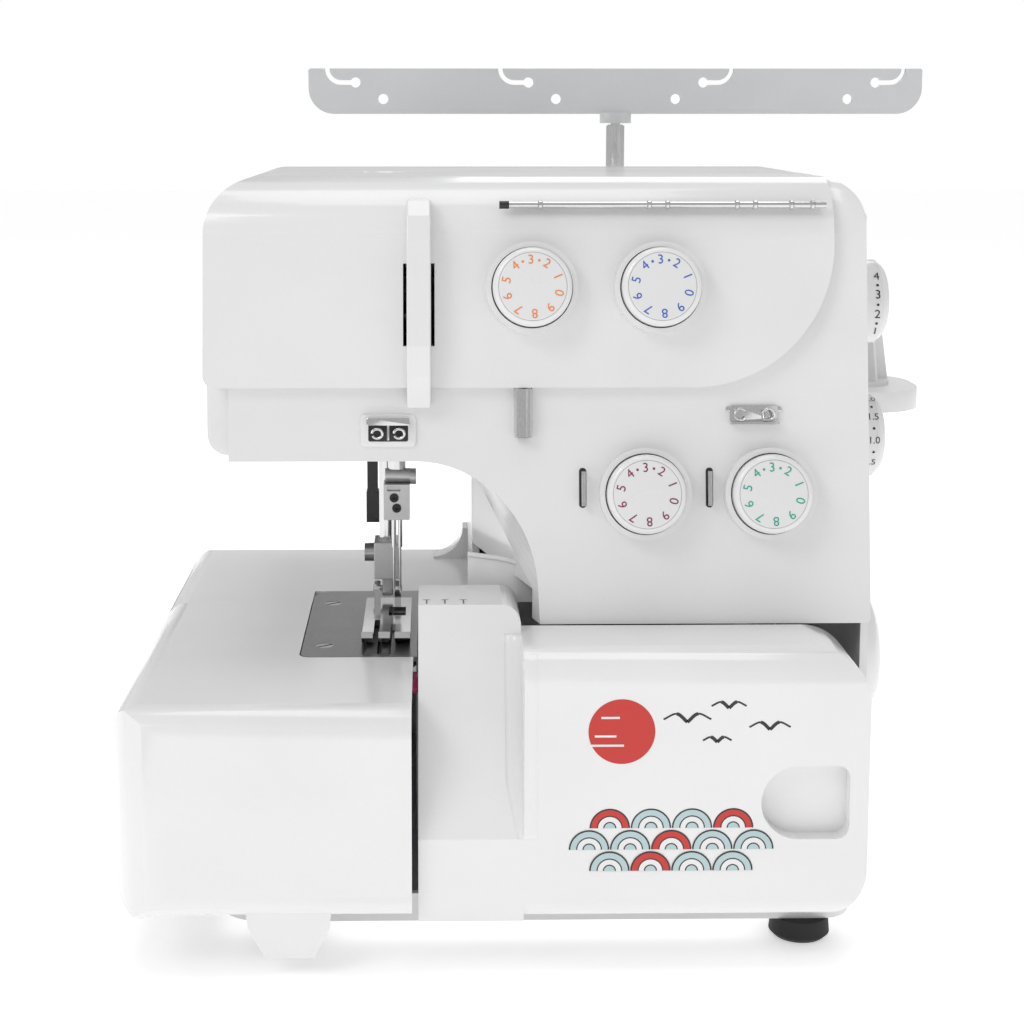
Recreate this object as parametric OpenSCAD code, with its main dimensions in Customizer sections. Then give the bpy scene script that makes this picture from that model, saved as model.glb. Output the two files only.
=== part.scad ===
// Overlock machine: free-standing, with two needles, two loopers and four thread tensions.
// Front faces -Y, +Z is up, and the origin is on the table under the middle of the whole machine.

/* [Overall] */
// Width from the side cover to the end of the spool tray
overall_w = 315; // [305:1:330]
// Depth from the side cover to the back of the spool tray
overall_d = 290; // [280:1:305]
// Wall thickness of the plastic casings
wall = 2.5; // [2:0.1:3]
// Gap between neighbouring casings
seam = 0.4; // [0.3:0.1:0.6]
// Radial clearance of a shaft in its bearing
run_gap = 0.05; // [0.02:0.01:0.08]
// Gap between moving pieces that aren't a fit
part_gap = 0.4; // [0.3:0.1:0.6]

/* [Levels] */
// Height of the sewing surface
bed_z = 87; // [84:1:90]
// Height of the underside of the head
head_low_z = 157; // [152:1:162]
// Height of the top of the head
head_top_z = 250; // [246:1:256]
// Height of the covers' lower edge
cover_low_z = 17; // [16:0.5:19]
// Height of the looper cover's top
looper_top_z = 104; // [101:1:106]
// Height of the knife guard's top
guard_top_z = 112; // [110:1:116]
// Radius of the guard's top right corner
guard_corner_r = 6; // [4:0.5:6.5]

/* [Head] */
// Lean of the front face, in degrees back from upright
lean = 9.7; // [6:0.1:12]
// Distance of the front face's lower edge behind the front of the machine
panel_inset = 39; // [37:1:42]
// Width of the head
head_w = 220.5; // [216:0.5:225]
// Distance of the head's left end from the left of the machine
head_inset = 26.2; // [22:0.2:30]
// Depth of the head, from its split line to its back
head_back_d = 99; // [92:1:103]
// Split line between front and rear casings, behind the machine's front
split_inset = 115; // [112:1:118]
// How far the upper shell stands proud of the front face
shell_proud = 4; // [2:0.5:6]
// Height of the upper shell's lower edge above the head's underside
shell_low = 24.5; // [20:0.5:28]
// Corner radius at the head's top left
head_left_r = 18; // [14:1:24]
// Corner radius at the head's top right
head_right_r = 14; // [10:1:18]
// Radius of the head's top front edge
head_front_r = 22; // [14:1:26]
// Radius of the upper shell's lower right corner
shell_corner_r = 47; // [35:1:52]
// Width of the plain strip right of the upper shell
shell_strip = 11.6; // [8:0.2:16]

/* [Bed] */
// Width of the side cover
side_w = 95.1; // [93:0.1:97]
// Depth of the side cover, from the front to its seam
side_d = 132.6; // [130:0.2:134]
// Depth of the rear bed cover
rear_bed_d = 95; // [90:1:98]
// Radius of the side cover's upper edges
bed_edge_r = 9; // [6:0.5:11]
// Radius of the covers' upright edges
bed_corner_r = 18; // [14:1:22]
// Radius of the side cover's hinge corner
knuckle_r = 7; // [6.5:0.1:8]

/* [Needle plate] */
// Width of the needle plate
plate_w = 40; // [38:0.5:42]
// Depth of the needle plate
plate_d = 89; // [86:1:92]
// Thickness of the needle plate
plate_t = 1.8; // [1.4:0.1:2.2]
// Distance of the needle plate's front edge behind the machine's front
plate_inset = 60; // [58:0.5:62]

/* [Stitching] */
// Distance between the two needles
needle_pitch = 2.2; // [2:0.1:2.4]
// Diameter of a needle's blade
needle_d = 0.9; // [0.8:0.05:1]
// Diameter of the needle bar
needle_bar_d = 6.4; // [6:0.1:7]
// Diameter of the presser bar
presser_bar_d = 6; // [5.6:0.1:6.4]
// Height of the needle points above the sewing surface
needle_up = 9.5; // [8.5:0.5:11]

/* [Controls] */
// Radius of a tension dial
dial_r = 13; // [12:0.1:13.6]
// Height of a tension dial
dial_h = 10.5; // [9:0.5:12]
// Radius of the collar round a tension dial
collar_r = 15.1; // [14.8:0.1:16]
// Radius of the two side dials
side_dial_r = 15.4; // [14:0.1:16.5]
// Radius of the handwheel
wheel_r = 28.5; // [26:0.5:30]
// Width of the handwheel
wheel_w = 25; // [22:0.5:27]

/* [Thread stand] */
// Length of the thread-guide bar and of the spool tray
bar_l = 266.6; // [260:0.2:270]
// Height of the thread-guide bar
bar_h = 19.5; // [17:0.5:22]
// Thickness of the thread-guide bar
bar_t = 2.5; // [2:0.1:3]
// Outer diameter of the pole's lowest tube
pole_d = 7.9; // [7.6:0.1:8.4]
// Wall of each pole tube
pole_wall = 0.6; // [0.5:0.05:0.8]
// Wall of the pole's middle section
pole_mid_wall = 1.2; // [1:0.05:1.3]
// Height of the top of the pole's lowest tube above the table
pole_top_z = 266; // [262:1:268]
// Height of the spool tray's upper face
tray_z = 152.6; // [148:0.2:156]
// Depth of the spool tray
tray_d = 60; // [56:1:62]
// Thickness of the spool tray
tray_t = 9; // [7:0.5:10]
// Height of the spool pins above the tray
pin_h = 77; // [70:1:82]
// Diameter of the spool pins
pin_d = 8; // [7:0.5:9]
// Base radius of a cone holder
cone_r = 15.4; // [14:0.2:17]
// Height of a cone holder
cone_h = 45; // [38:1:52]

/* [Base] */
// Height of the rubber feet
foot_h = 7; // [6:0.5:8]
// Radius of the rubber feet
foot_r = 10; // [8:0.5:11]

/* [Hidden] */
$fn = 64;
eps = 0.01;
left_x = -overall_w / 2;
front_y = -overall_d / 2;
right_x = overall_w / 2;
back_y = overall_d / 2;
split_y = front_y + split_inset;
// Head
head_x0 = left_x + head_inset;
head_x1 = head_x0 + head_w;
head_back_y = split_y + head_back_d;
panel_y0 = front_y + panel_inset;
shell_x1 = head_x1 - shell_strip;
shell_z0 = head_low_z + shell_low;
strip_x0 = head_x0 + 8.2;
// Pillar: its left wall, and the deeper front arch of the throat
pillar_x0 = head_x0 + 90;
arch_r = 15;
front_arch_x = pillar_x0 + 24;
front_arch_r = 46;
// Bed
side_x1 = left_x + side_w;
seam_y = front_y + side_d;
bed_back_y = seam_y + rear_bed_d;
pivot_x = left_x + knuckle_r;
pivot_y = seam_y - knuckle_r;
// Needle plate
plate_x1 = side_x1 + 1.3;
plate_x0 = plate_x1 - plate_w;
plate_y0 = front_y + plate_inset;
plate_y1 = plate_y0 + plate_d;
plate_z0 = bed_z - plate_t;
// Needles and presser
needle_x = plate_x1 - 6.5;
needle_y = front_y + 109;
bars_x = needle_x - needle_pitch / 2;
take_up_x = bars_x + 8.6;
presser_x = needle_x - 5;
presser_y = needle_y + 15;
// Looper cover
looper_x0 = side_x1 + 2;
looper_x1 = head_x1 - 7.4;
looper_y0 = front_y + 4;
guard_x1 = looper_x0 + 33.4;
guard_y1 = looper_y0 + 56;
hinge_y = looper_y0 + 8;
hinge_z = cover_low_z + 8;
rod_r = 2;
lug_r = rod_r + 1.5;
// Main shaft
shaft_y = front_y + 144;
shaft_z = 64.3;
shaft_r = 5;
// Floor levels
tray_low_z = foot_h;
tray_floor_z = tray_low_z + 3;
frame_z0 = tray_floor_z + 0.5;
// Stand
pole_x = right_x - bar_l / 2;
stand_y = back_y - tray_d / 2;
bar_z0 = pole_top_z + 5;
mid_r = pole_d / 2 - pole_wall - run_gap;
top_r = mid_r - pole_mid_wall - run_gap;
pin_xs = [for (s = [-107, -32, 32, 107]) pole_x + s];
// Dials: place along X and height, for the four tension units
dials = [[head_x0 + 108.3, 213], [head_x0 + 150.5, 213], [head_x0 + 145.6, 146.3], [head_x0 + 186.9, 146.3]];
side_dial_y = front_y + 134;
side_dial_zs = [201.5, 150.7];

// Depth of the front face at a height
function panel_y(z) = panel_y0 + (z - looper_top_z) * tan(lean);
// Centre of an arc of radius r between the leaning face, stood out by s, and a level at z
function arc_y(z, r, s) = panel_y0 + ((z - looper_top_z) * sin(lean) - s + r) / cos(lean);

// Extrusions of an upright outline along Y and along X, and of a plan along Z
module along_y(y0, y1) {
  translate([0, y1, 0]) rotate([90, 0, 0]) linear_extrude(y1 - y0) children();
}
module along_x(x0, x1) {
  translate([x0, 0, 0]) rotate([90, 0, 90]) linear_extrude(x1 - x0) children();
}
module along_z(z0, z1) {
  translate([0, 0, z0]) linear_extrude(z1 - z0) children();
}
module rod_x(x0, x1, y, z, r) {
  translate([x0, y, z]) rotate([0, 90, 0]) cylinder(h = x1 - x0, r = r);
}
module rod_y(y0, y1, x, z, r) {
  translate([x, y1, z]) rotate([90, 0, 0]) cylinder(h = y1 - y0, r = r);
}
module rod_z(z0, z1, x, y, r) {
  translate([x, y, z0]) cylinder(h = z1 - z0, r = r);
}
module block(x0, x1, y0, y1, z0, z1) {
  translate([x0, y0, z0]) cube([x1 - x0, y1 - y0, z1 - z0]);
}
// A rectangle with its own radius at each corner: low left, low right, top right, top left
module panel(x0, y0, x1, y1, r) {
  difference() {
    translate([x0, y0]) square([x1 - x0, y1 - y0]);
    corner(x0, y0, r[0], 1, 1);
    corner(x1, y0, r[1], -1, 1);
    corner(x1, y1, r[2], -1, -1);
    corner(x0, y1, r[3], 1, -1);
  }
}
// What rounding takes off one corner
module corner(x, y, r, sx, sy) {
  if (r > 0) translate([x, y]) difference() {
    translate([min(0, sx * r) - (sx > 0 ? 1 : 0), min(0, sy * r) - (sy > 0 ? 1 : 0)]) square(r + 1);
    translate([sx * r, sy * r]) circle(r);
  }
}
module on_panel(x, z, out = 0) {
  translate([x, panel_y(z), z]) rotate([90 - lean, 0, 0]) translate([0, 0, out]) children();
}

// Side view of the head: leaning face stood out by s, top lowered by t, all drawn in by i
module head_side(s, z0, y1, i) {
  r = head_front_r - i;
  zt = head_top_z - i;
  cy = arc_y(zt - r, r, s - i);
  low = panel_y(z0) - (s - i) / cos(lean);
  top = panel_y(zt) - (s - i) / cos(lean);
  difference() {
    polygon([[low, z0], [top, zt], [y1, zt], [y1, z0]]);
    difference() {
      polygon([[cy, zt - r], [cy - (r + 1) * cos(lean), zt - r + (r + 1) * sin(lean)], [top - 2, zt + 1], [cy, zt + 1]]);
      translate([cy, zt - r]) circle(r);
    }
  }
}
// The throat: its narrow arch at the split line widens to a deep arch at the front
module arch(x, r, grow) {
  panel(left_x - 60, 40, x + grow, head_low_z + grow, [0, 0, r + grow, 0]);
}
module throat(grow) {
  hull() {
    along_y(split_y - 1, split_y + 1) arch(pillar_x0, arch_r, grow);
    along_y(panel_y0 - 12, panel_y0 - 11) arch(front_arch_x, front_arch_r, grow);
  }
  along_y(split_y - 1, back_y) arch(pillar_x0, arch_r, grow);
}
module head_front_outline(i) {
  panel(head_x0 + i, cover_low_z, head_x1 - i, head_top_z - i, [0, 0, head_right_r, head_left_r]);
}

// Depth of the upper shell's surface at a height
function shell_y(z) = let (zc = head_top_z - head_front_r, cy = arc_y(zc, head_front_r, shell_proud))
  z < zc + head_front_r * sin(lean) ? panel_y(z) - shell_proud / cos(lean)
  : cy - sqrt(head_front_r * head_front_r - (z - zc) * (z - zc));

// ---- Base and frame ----
tray_x0 = left_x + 30;
tray_y0 = front_y + 27;
tray_x1 = head_x1 - 6;
tray_y1 = bed_back_y - 6;
tray_rim = 9.5;
feet = [for (x = [tray_x0 + 23.5, tray_x1 - 17], y = [tray_y0 + 5, tray_y1 - 20]) [x, y]];
floor_t = 4;
plate_gap = 1;
bed_plate_z = bed_z - 13;
bed_plate_t = 6;
plate_back = 22;
plate_corner_r = 4;
wall_a = pillar_x0 + 5.3;
wall_b = head_x1 - 33.2;
rib_t = 6;
well_x0 = needle_x - 16.4;
well_y0 = plate_y0 + 3;
well_y1 = plate_y1 - 12;
frame_top_z = head_top_z - 14;
post_x = pivot_x + 6;
motor_y = shaft_y + 43;
motor_z = 50;
motor_r = 22;
motor_shaft_r = 3;
pulley_x0 = wall_b + rib_t + 4;
pulley_w = 8;
upper_pivot = [needle_x + 19.6, 50];
lower_pivot = [needle_x - 6.4, 45];
looper_shaft_r = 3;
knife_pivot = [guard_y1 - 10, 60];
bush_r = 8;

module base_tray() {
  color("whitesmoke") {
    difference() {
      along_z(tray_low_z, tray_low_z + tray_rim) panel(tray_x0, tray_y0, tray_x1, tray_y1, [16, 10, 14, 16]);
      along_z(tray_floor_z, tray_low_z + tray_rim + 1)
        panel(tray_x0 + wall, tray_y0 + wall, tray_x1 - wall, tray_y1 - wall, [13.5, 7.5, 11.5, 13.5]);
      for (i = [0:6]) block(-4 + i * 9, 1 + i * 9, motor_y - 22, motor_y + 12, tray_low_z - 1, tray_floor_z + 1);
    }
  }
}
module rubber_feet() {
  color("#202020") for (f = feet) translate([f[0], f[1], 0]) rotate_extrude()
    polygon([[0, 0], [foot_r - 1.5, 0], [foot_r, 1.5], [foot_r - 0.5, foot_h], [0, foot_h]]);
}
module frame_casting() {
  color("#b4b6b8") difference() {
    union() {
      along_z(tray_floor_z, tray_floor_z + floor_t) difference() {
        panel(tray_x0 + 4, tray_y0 + 4, tray_x1 - 4, tray_y1 - 4, [12, 6, 10, 12]);
        panel(-2, motor_y - 24, 56, motor_y + 14, [4, 4, 4, 4]);
      }
      // Bed plate and the raised pad that carries the needle plate
      block(post_x + 1.6, wall_a, plate_y0 + 5, bed_back_y - plate_back, bed_plate_z, bed_plate_z + bed_plate_t);
      along_z(bed_plate_z, plate_z0)
        panel(plate_x0 + 1, plate_y0 + 1, plate_x1 - 1, plate_y1 - 1, [plate_corner_r, 0, 0, 0]);
      // Left post with the eyes of the side cover's pin
      block(post_x, post_x + 8, pivot_y - 21, pivot_y - 11, 30, bed_plate_z + 1);
      for (z = [31, 65.4]) along_z(z, z + 3.6) {
        translate([pivot_x, pivot_y]) circle(3.5);
        polygon([[pivot_x - 2.4, pivot_y - 2.4], [pivot_x + 2.4, pivot_y + 2.4],
          [post_x + 6, pivot_y - 11], [post_x, pivot_y - 17]]);
      }
      // Side plates of the pillar, tied by the back plate
      difference() {
        for (x = [wall_a, wall_b]) along_x(x, x + rib_t)
          panel(split_y + seam, tray_floor_z + 1, head_back_y - 10, frame_top_z, [0, 0, 8, 8]);
        for (z = [90, 150]) along_x(wall_a - 1, wall_a + rib_t + 1) panel(12, z, 44, z + 46, [8, 8, 8, 8]);
        along_x(wall_b - 1, wall_b + rib_t + 1) panel(12, 100, 44, 130, [8, 8, 8, 8]);
      }
      block(wall_a, wall_b + rib_t, head_back_y - 18, head_back_y - 12, bed_z + 10, frame_top_z - 8);
      // Rear legs under the bed plate
      for (x = [post_x + 30, wall_a - 30])
        block(x, x + 8, bed_back_y - 32, bed_back_y - 24, tray_floor_z + 1, bed_plate_z + 1);
      // Lugs of the looper shafts, the knife post and the cover hinge
      block(upper_pivot[0] - 6, wall_a + 1, split_y - 2, split_y + 4, upper_pivot[1] - 6, upper_pivot[1] + 6);
      block(lower_pivot[0] - 6, lower_pivot[0] + 6, needle_y + 12, needle_y + 24, tray_floor_z + 1, lower_pivot[1] + 6);
      block(looper_x0 + 6, looper_x0 + 14, knife_pivot[0] - 6, knife_pivot[0] + 6, tray_floor_z + 1, knife_pivot[1] + 6);
      rod_x(looper_x0 + 2, looper_x0 + 7, knife_pivot[0], knife_pivot[1], 3);
      for (x = [looper_x0 + 8, looper_x1 - 20]) {
        block(x, x + 4, hinge_y, tray_y0 + 8, hinge_z - lug_r, hinge_z + lug_r);
        rod_x(x, x + 4, hinge_y, hinge_z, lug_r);
        block(x, x + 4, tray_y0 + 5, tray_y0 + 11, tray_floor_z + 1, hinge_z + lug_r);
      }
      block(plate_x1 - 0.5, plate_x1 + 1.5, knife_y0 + 1, knife_y0 + 7, tray_floor_z + 1, bed_z - 8);
    }
    block(well_x0, plate_x1 - 3, well_y0, well_y1, bed_plate_z - 10, bed_z);
    difference() {
      block(plate_x1 - 4, wall_a - 5, plate_y0 - 5, well_y1, bed_plate_z - 0.5, bed_z);
      block(plate_x1 - 0.5, plate_x1 + 1.5, knife_y0 + 1, knife_y0 + 7, tray_floor_z + 1, bed_z - 8);
    }
    rod_z(20, bed_z, pivot_x, pivot_y, 1.5 + eps);
    for (x = [wall_a, wall_b]) rod_x(x - 1, x + rib_t + 1, shaft_y, shaft_z, bush_r);
    rod_x(wall_b - 1, wall_b + rib_t + 1, motor_y, motor_z, motor_shaft_r + 1);
    for (z = side_dial_zs) rod_x(wall_b - 1, wall_b + rib_t + 1, side_dial_y, z, 4 + run_gap);
    rod_y(split_y - 3, split_y + 5, upper_pivot[0], upper_pivot[1], looper_shaft_r + run_gap);
    rod_y(needle_y + 11, needle_y + 25, lower_pivot[0], lower_pivot[1], looper_shaft_r + run_gap);
    rod_x(looper_x0 + 7, looper_x1 - 7, hinge_y, hinge_z, rod_r + run_gap);
  }
}
knife_y0 = plate_y0 + 25;

// ---- Casings ----
module head_block(y0, y1, i) {
  intersection() {
    along_y(y0, y1) head_front_outline(i);
    along_x(head_x0 - 1, head_x1 + 1) head_side(0, cover_low_z, y1, i);
  }
}
module rear_housing() {
  color("white") difference() {
    union() {
      intersection() {
        along_y(split_y, head_back_y) head_front_outline(0);
        along_x(head_x0 - 1, head_x1 + 1) panel(split_y, cover_low_z, head_back_y, head_top_z, [0, 3, 18, 0]);
      }
      block(head_x1 - wall, head_x1, panel_y0 + 4, split_y + 1, cover_low_z, looper_top_z);
      along_z(cover_low_z, bed_z) panel(pillar_x0, split_y + 2, head_x1, bed_back_y, [0, 0, 10, 0]);
    }
    difference() {
      intersection() {
        along_y(split_y - 1, head_back_y - wall) head_front_outline(wall);
        along_x(head_x0, head_x1) panel(split_y - 1, cover_low_z - 1, head_back_y - wall, head_top_z - wall, [0, 0, 15.5, 0]);
      }
      throat(wall);
    }
    block(pillar_x0 + wall, head_x1 - wall, split_y - 1, bed_back_y - wall, cover_low_z - 1, bed_z - wall);
    throat(0);
    block(pillar_x0 - 1, pillar_x0 + wall + 1, split_y - 1, bed_back_y - plate_back + part_gap, upper_pivot[1] - 6.4,
      bed_plate_z + bed_plate_t + part_gap);
    // Openings: bars and lifter, side dials, handwheel shaft, inlet, switch, pressure screw
    block(presser_x - 20, presser_x + 14, split_y - 1, presser_y + 36, head_low_z - 1, head_low_z + wall + 1);
    for (z = side_dial_zs) rod_x(head_x1 - wall - 1, head_x1 + 1, side_dial_y, z, 4.6);
    rod_x(head_x1 - wall - 1, head_x1 + 1, shaft_y, shaft_z, shaft_r + 1);
    block(head_x1 - wall - 1, head_x1 + 1, inlet_y, inlet_y + 22, 24, 40);
    block(head_x1 - wall - 1, head_x1 + 1, inlet_y - 0.4, inlet_y + 12.4, 50.6, 69.4);
    translate([presser_x, presser_y, head_top_z - 3]) cylinder(h = 3.1, r1 = 5.4, r2 = 8.4);
    rod_z(head_top_z - wall - 2, head_top_z, presser_x, presser_y, 5.4);
  }
}
inlet_y = motor_y - 6;
module rear_bed_cover() {
  color("white") difference() {
    union() {
      intersection() {
        along_z(cover_low_z, bed_z) panel(left_x, seam_y, pillar_x0 - eps, bed_back_y, [0, 0, 0, 22]);
        along_y(seam_y, bed_back_y) panel(left_x, cover_low_z, pillar_x0, bed_z, [bed_edge_r, 0, 0, bed_edge_r]);
        along_x(left_x, pillar_x0) panel(seam_y, cover_low_z, bed_back_y, bed_z, [0, 6, bed_edge_r, 0]);
      }
      block(looper_x0 + 6, pillar_x0 - eps, guard_y1 + 6, seam_y + 1, bed_z - wall, bed_z);
      block(pillar_x0 - 14, pillar_x0 - eps, bed_back_y - 25, head_back_y, bed_z - 1, bed_z + 13);
    }
    along_z(cover_low_z - 1, bed_z - wall)
      panel(left_x + wall, seam_y - 1, pillar_x0 + 1, bed_back_y - wall, [0, 0, 0, 19.5]);
    block(plate_x0 - 0.3, plate_x1 + 0.3, seam_y - 1, plate_y1 + 0.3, bed_z - 20, bed_z + 1);
    rod_y(bed_back_y - 30, head_back_y + 1, pillar_x0 - 14, bed_z + 13, 12);
  }
}
module front_zone(i) {
  panel(strip_x0 + i, looper_top_z + i, head_x1 - i, head_top_z - i, [10, 2, head_right_r - i, 0]);
}
module shell_zone(g) {
  panel(head_x0 - 2, shell_z0 - g, shell_x1 + g, head_top_z + 5, [4, shell_corner_r + g, 0, 0]);
}
module front_cover() {
  color("white") difference() {
    intersection() {
      along_y(panel_y0 - 5, split_y) front_zone(0);
      along_x(strip_x0, head_x1) head_side(0, looper_top_z, split_y, 0);
    }
    difference() {
      intersection() {
        along_y(panel_y0 - 5, split_y + 1) front_zone(wall);
        along_x(strip_x0, head_x1) head_side(0, looper_top_z - 1.5, split_y + 1.3, wall);
      }
      throat(wall);
    }
    throat(0);
    along_y(panel_y0 - 20, split_y + 1) shell_zone(seam);
    block(front_arch_x - 40, front_arch_x + 8, panel_y0 + 8, split_y + 1, looper_top_z - 1, guard_top_z + 2);
    block(front_arch_x + 4, head_x1 - wall - 1, panel_y0 + 4, split_y + 1, looper_top_z - 1, looper_top_z + wall + 1);
    block(presser_x - 20, presser_x + 14, needle_y - 16, split_y + 1, head_low_z - 1, head_low_z + wall + 1);
    for (i = [2, 3]) on_panel(dials[i][0], dials[i][1], -20) cylinder(h = 30, r = 3.2);
    for (x = hook_xs, y = [-hook_half, hook_half]) on_panel(x, hook_z) translate([0, y, -5]) cylinder(h = 10, r = hook_r + run_gap);
  }
}
hook_xs = [head_x0 + 125.4, head_x0 + 167.2];
hook_z = 148;
hook_half = 5;
hook_r = 0.7;
module upper_shell() {
  color("white") difference() {
    union() {
      intersection() {
        along_y(panel_y0 - 20, split_y)
          panel(head_x0, shell_z0, shell_x1, head_top_z, [4, shell_corner_r, 0, head_left_r]);
        along_y(panel_y0 - 21, split_y + 1) head_front_outline(0);
        along_x(head_x0 - 1, head_x1 + 1) head_side(shell_proud, shell_z0, split_y, 0);
      }
      along_y(panel_y(head_low_z) + 12, split_y) panel(head_x0, head_low_z, strip_x0 - seam, shell_z0 + 8, [7, 0, 0, 0]);
    }
    intersection() {
      along_y(panel_y0 - 20, split_y + 1) union() {
        panel(head_x0 + wall, shell_z0 + wall, shell_x1 - wall, head_top_z - wall,
          [2, shell_corner_r - wall, 0, head_left_r - wall]);
        panel(head_x0 + wall, head_low_z + wall, strip_x0 + 40, shell_z0 + 30, [4, 0, 0, 0]);
      }
      along_x(head_x0, head_x1) head_side(shell_proud, head_low_z, split_y + 1, wall);
      union() {
        block(head_x0, head_x1, panel_y0, split_y + 1, shell_z0 + wall, head_top_z);
        block(head_x0, strip_x0 + 1, panel_y(head_low_z) + 12 + wall, split_y + 1, head_low_z, shell_z0 + wall + 1);
      }
    }
    for (i = [0, 1]) on_panel(dials[i][0], dials[i][1], -20) cylinder(h = 30, r = 3.2);
    for (s = [-1, 1]) translate([take_up_x + s * 4.6, 0, 0])
      block(-0.6, 0.6, panel_y0 - 10, panel_y0 + 40, 195, 222);
    block(take_up_x - 1.8, take_up_x + 1.8, panel_y0 - 10, panel_y0 + 40, take_up_z - 15, take_up_z + 6);
    block(presser_x - 20, presser_x + 14, needle_y - 16, split_y + 1, shell_z0 - 1, shell_z0 + wall + 1);
  }
}

// ---- Covers that open ----
tab_x = side_x1 - 26;
module side_cover() {
  color("white") difference() {
    union() {
      difference() {
        intersection() {
          along_z(cover_low_z, bed_z) panel(left_x, front_y, side_x1, seam_y, [bed_corner_r, 0, 0, knuckle_r]);
          along_y(front_y, seam_y) panel(left_x, cover_low_z, side_x1, bed_z, [14, 0, 0, bed_edge_r]);
          along_x(left_x, side_x1) panel(front_y, cover_low_z, seam_y, bed_z, [10, 0, 0, bed_edge_r]);
        }
        intersection() {
          along_z(cover_low_z - 1, bed_z - wall) union() {
            panel(left_x + wall, front_y + wall, side_x1 + 1, seam_y - wall,
              [bed_corner_r - wall, 0, 0, knuckle_r - wall]);
            translate([pivot_x, pivot_y]) square([side_w, knuckle_r + 1]);
          }
          along_y(front_y, seam_y + 1) panel(left_x + wall, cover_low_z - 20, side_x1 + 1, bed_z - wall,
            [0, 0, 0, bed_edge_r - wall]);
          along_x(left_x, side_x1 + 1) panel(front_y + wall, cover_low_z - 20, seam_y + 1, bed_z - wall,
            [0, 0, 0, bed_edge_r - wall]);
        }
      }
      for (z = [35, 61]) rod_z(z, z + 4, pivot_x, pivot_y, knuckle_r - wall + 0.1);
      along_y(front_y + 2, front_y + 2 + wall) polygon([[tab_x - 27, 28], [tab_x + 1, 28], [tab_x, cover_low_z - 1],
        [tab_x - 5, 6], [tab_x - 20.5, 6], [tab_x - 26, cover_low_z - 1]]);
    }
    rod_z(20, bed_z - wall - 1, pivot_x, pivot_y, 1.5 + run_gap);
    along_z(bed_z - 6, bed_z + 1)
      panel(plate_x0 - part_gap, plate_y0 - part_gap, side_x1 + 1, seam_y + 1, [plate_corner_r, 0, 0, 0]);
  }
}
module side_cover_pin() {
  color("silver") rod_z(30.6, 69.4, pivot_x, pivot_y, 1.5);
}
scoop_z = 44;
recess_x1 = looper_x1 - 6;
module looper_front(i) {
  panel(looper_x0, cover_low_z + i, looper_x1 - i, looper_top_z - i, [3, 16, 16, 0]);
}
// Side view of the plain cover, and of the knife guard above its sloping scoop
module cover_side(i) {
  panel(looper_y0 + i, cover_low_z, panel_y0 - 1.5, looper_top_z - i, [6, 0, 0, 10 - i]);
}
module guard_side(i) {
  difference() {
    polygon([[looper_y0 + i, cover_low_z], [looper_y0 + i, scoop_z], [looper_y0 + 24 + i, looper_top_z - 2],
      [looper_y0 + 30 + i, guard_top_z - i], [guard_y1, guard_top_z - i], [guard_y1, looper_top_z - 14],
      [panel_y0 - 1.5, looper_top_z - 20], [panel_y0 - 1.5, cover_low_z]]);
  }
}
module looper_cover() {
  color("white") difference() {
    union() {
      intersection() {
        along_y(looper_y0, panel_y0) looper_front(0);
        along_x(guard_x1, looper_x1) cover_side(0);
      }
      intersection() {
        along_x(looper_x0, guard_x1 + eps) guard_side(0);
        along_y(looper_y0 - 1, guard_y1 + 1)
          panel(looper_x0 - 1, cover_low_z - 1, guard_x1 + eps, guard_top_z, [0, 0, guard_corner_r, 0]);
      }
      for (x = [looper_x0 + 30, looper_x1 - 36]) {
        rod_x(x, x + 6, hinge_y, hinge_z, 6);
        block(x, x + 6, looper_y0 + 1, hinge_y, hinge_z - 4, hinge_z + 10);
      }
    }
    difference() {
      union() {
        intersection() {
          along_y(looper_y0, panel_y0 + 1) panel(guard_x1 - wall, cover_low_z - 1, looper_x1 - wall,
            looper_top_z - wall, [0, 0, 13.5, 0]);
          along_x(guard_x1 - wall, looper_x1) cover_cavity();
        }
        along_x(looper_x0 + wall, guard_x1 - wall) guard_cavity();
        along_x(looper_x0 - 1, looper_x0 + wall + 1) translate([10, 0]) guard_cavity();
      }
      for (x = [looper_x0 + 30, looper_x1 - 36]) {
        rod_x(x, x + 6, hinge_y, hinge_z, 6);
        block(x, x + 6, looper_y0 + 1, hinge_y, hinge_z - 4, hinge_z + 10);
      }
      // Pocket of the thumb recess
      along_y(looper_y0, looper_y0 + 9) thumb_recess(wall);
    }
    for (x = [looper_x0 + 30, looper_x1 - 36]) rod_x(x - 1, x + 7, hinge_y, hinge_z, rod_r + 1.2 + 2 * run_gap);
    along_y(looper_y0 - 1, looper_y0 + 6) thumb_recess(0);
  }
}
module thumb_recess(g) {
  panel(recess_x1 - 28 - g, 43.5 - g, recess_x1 + g, 67.5 + g, [12 + g, 4, 4, 12 + g]);
}
module cover_cavity() {
  panel(looper_y0 + wall, cover_low_z - 1, panel_y0 + 1, looper_top_z - wall, [0, 0, 0, 7.5]);
}
module guard_cavity() {
  polygon([[looper_y0 + wall, cover_low_z - 1], [looper_y0 + wall, scoop_z], [looper_y0 + 24 + wall, looper_top_z - 3],
    [looper_y0 + 31 + wall, guard_top_z - wall], [guard_y1 + 1, guard_top_z - wall], [guard_y1 + 1, cover_low_z - 1]]);
}
module cover_hinge_rod() {
  color("silver") rod_x(looper_x0 + wall + 1, looper_x1 - 8, hinge_y, hinge_z, rod_r);
}
module cover_sleeve() {
  color("#444444") difference() {
    for (x = [looper_x0 + 30, looper_x1 - 36]) {
      rod_x(x - 2, x + 8, hinge_y, hinge_z, rod_r + 1.2 + run_gap);
      for (e = [x - 2, x + 6.4]) rod_x(e, e + 1.6, hinge_y, hinge_z, rod_r + 2.6);
    }
    rod_x(looper_x0, looper_x1, hinge_y, hinge_z, rod_r);
  }
}

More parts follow.
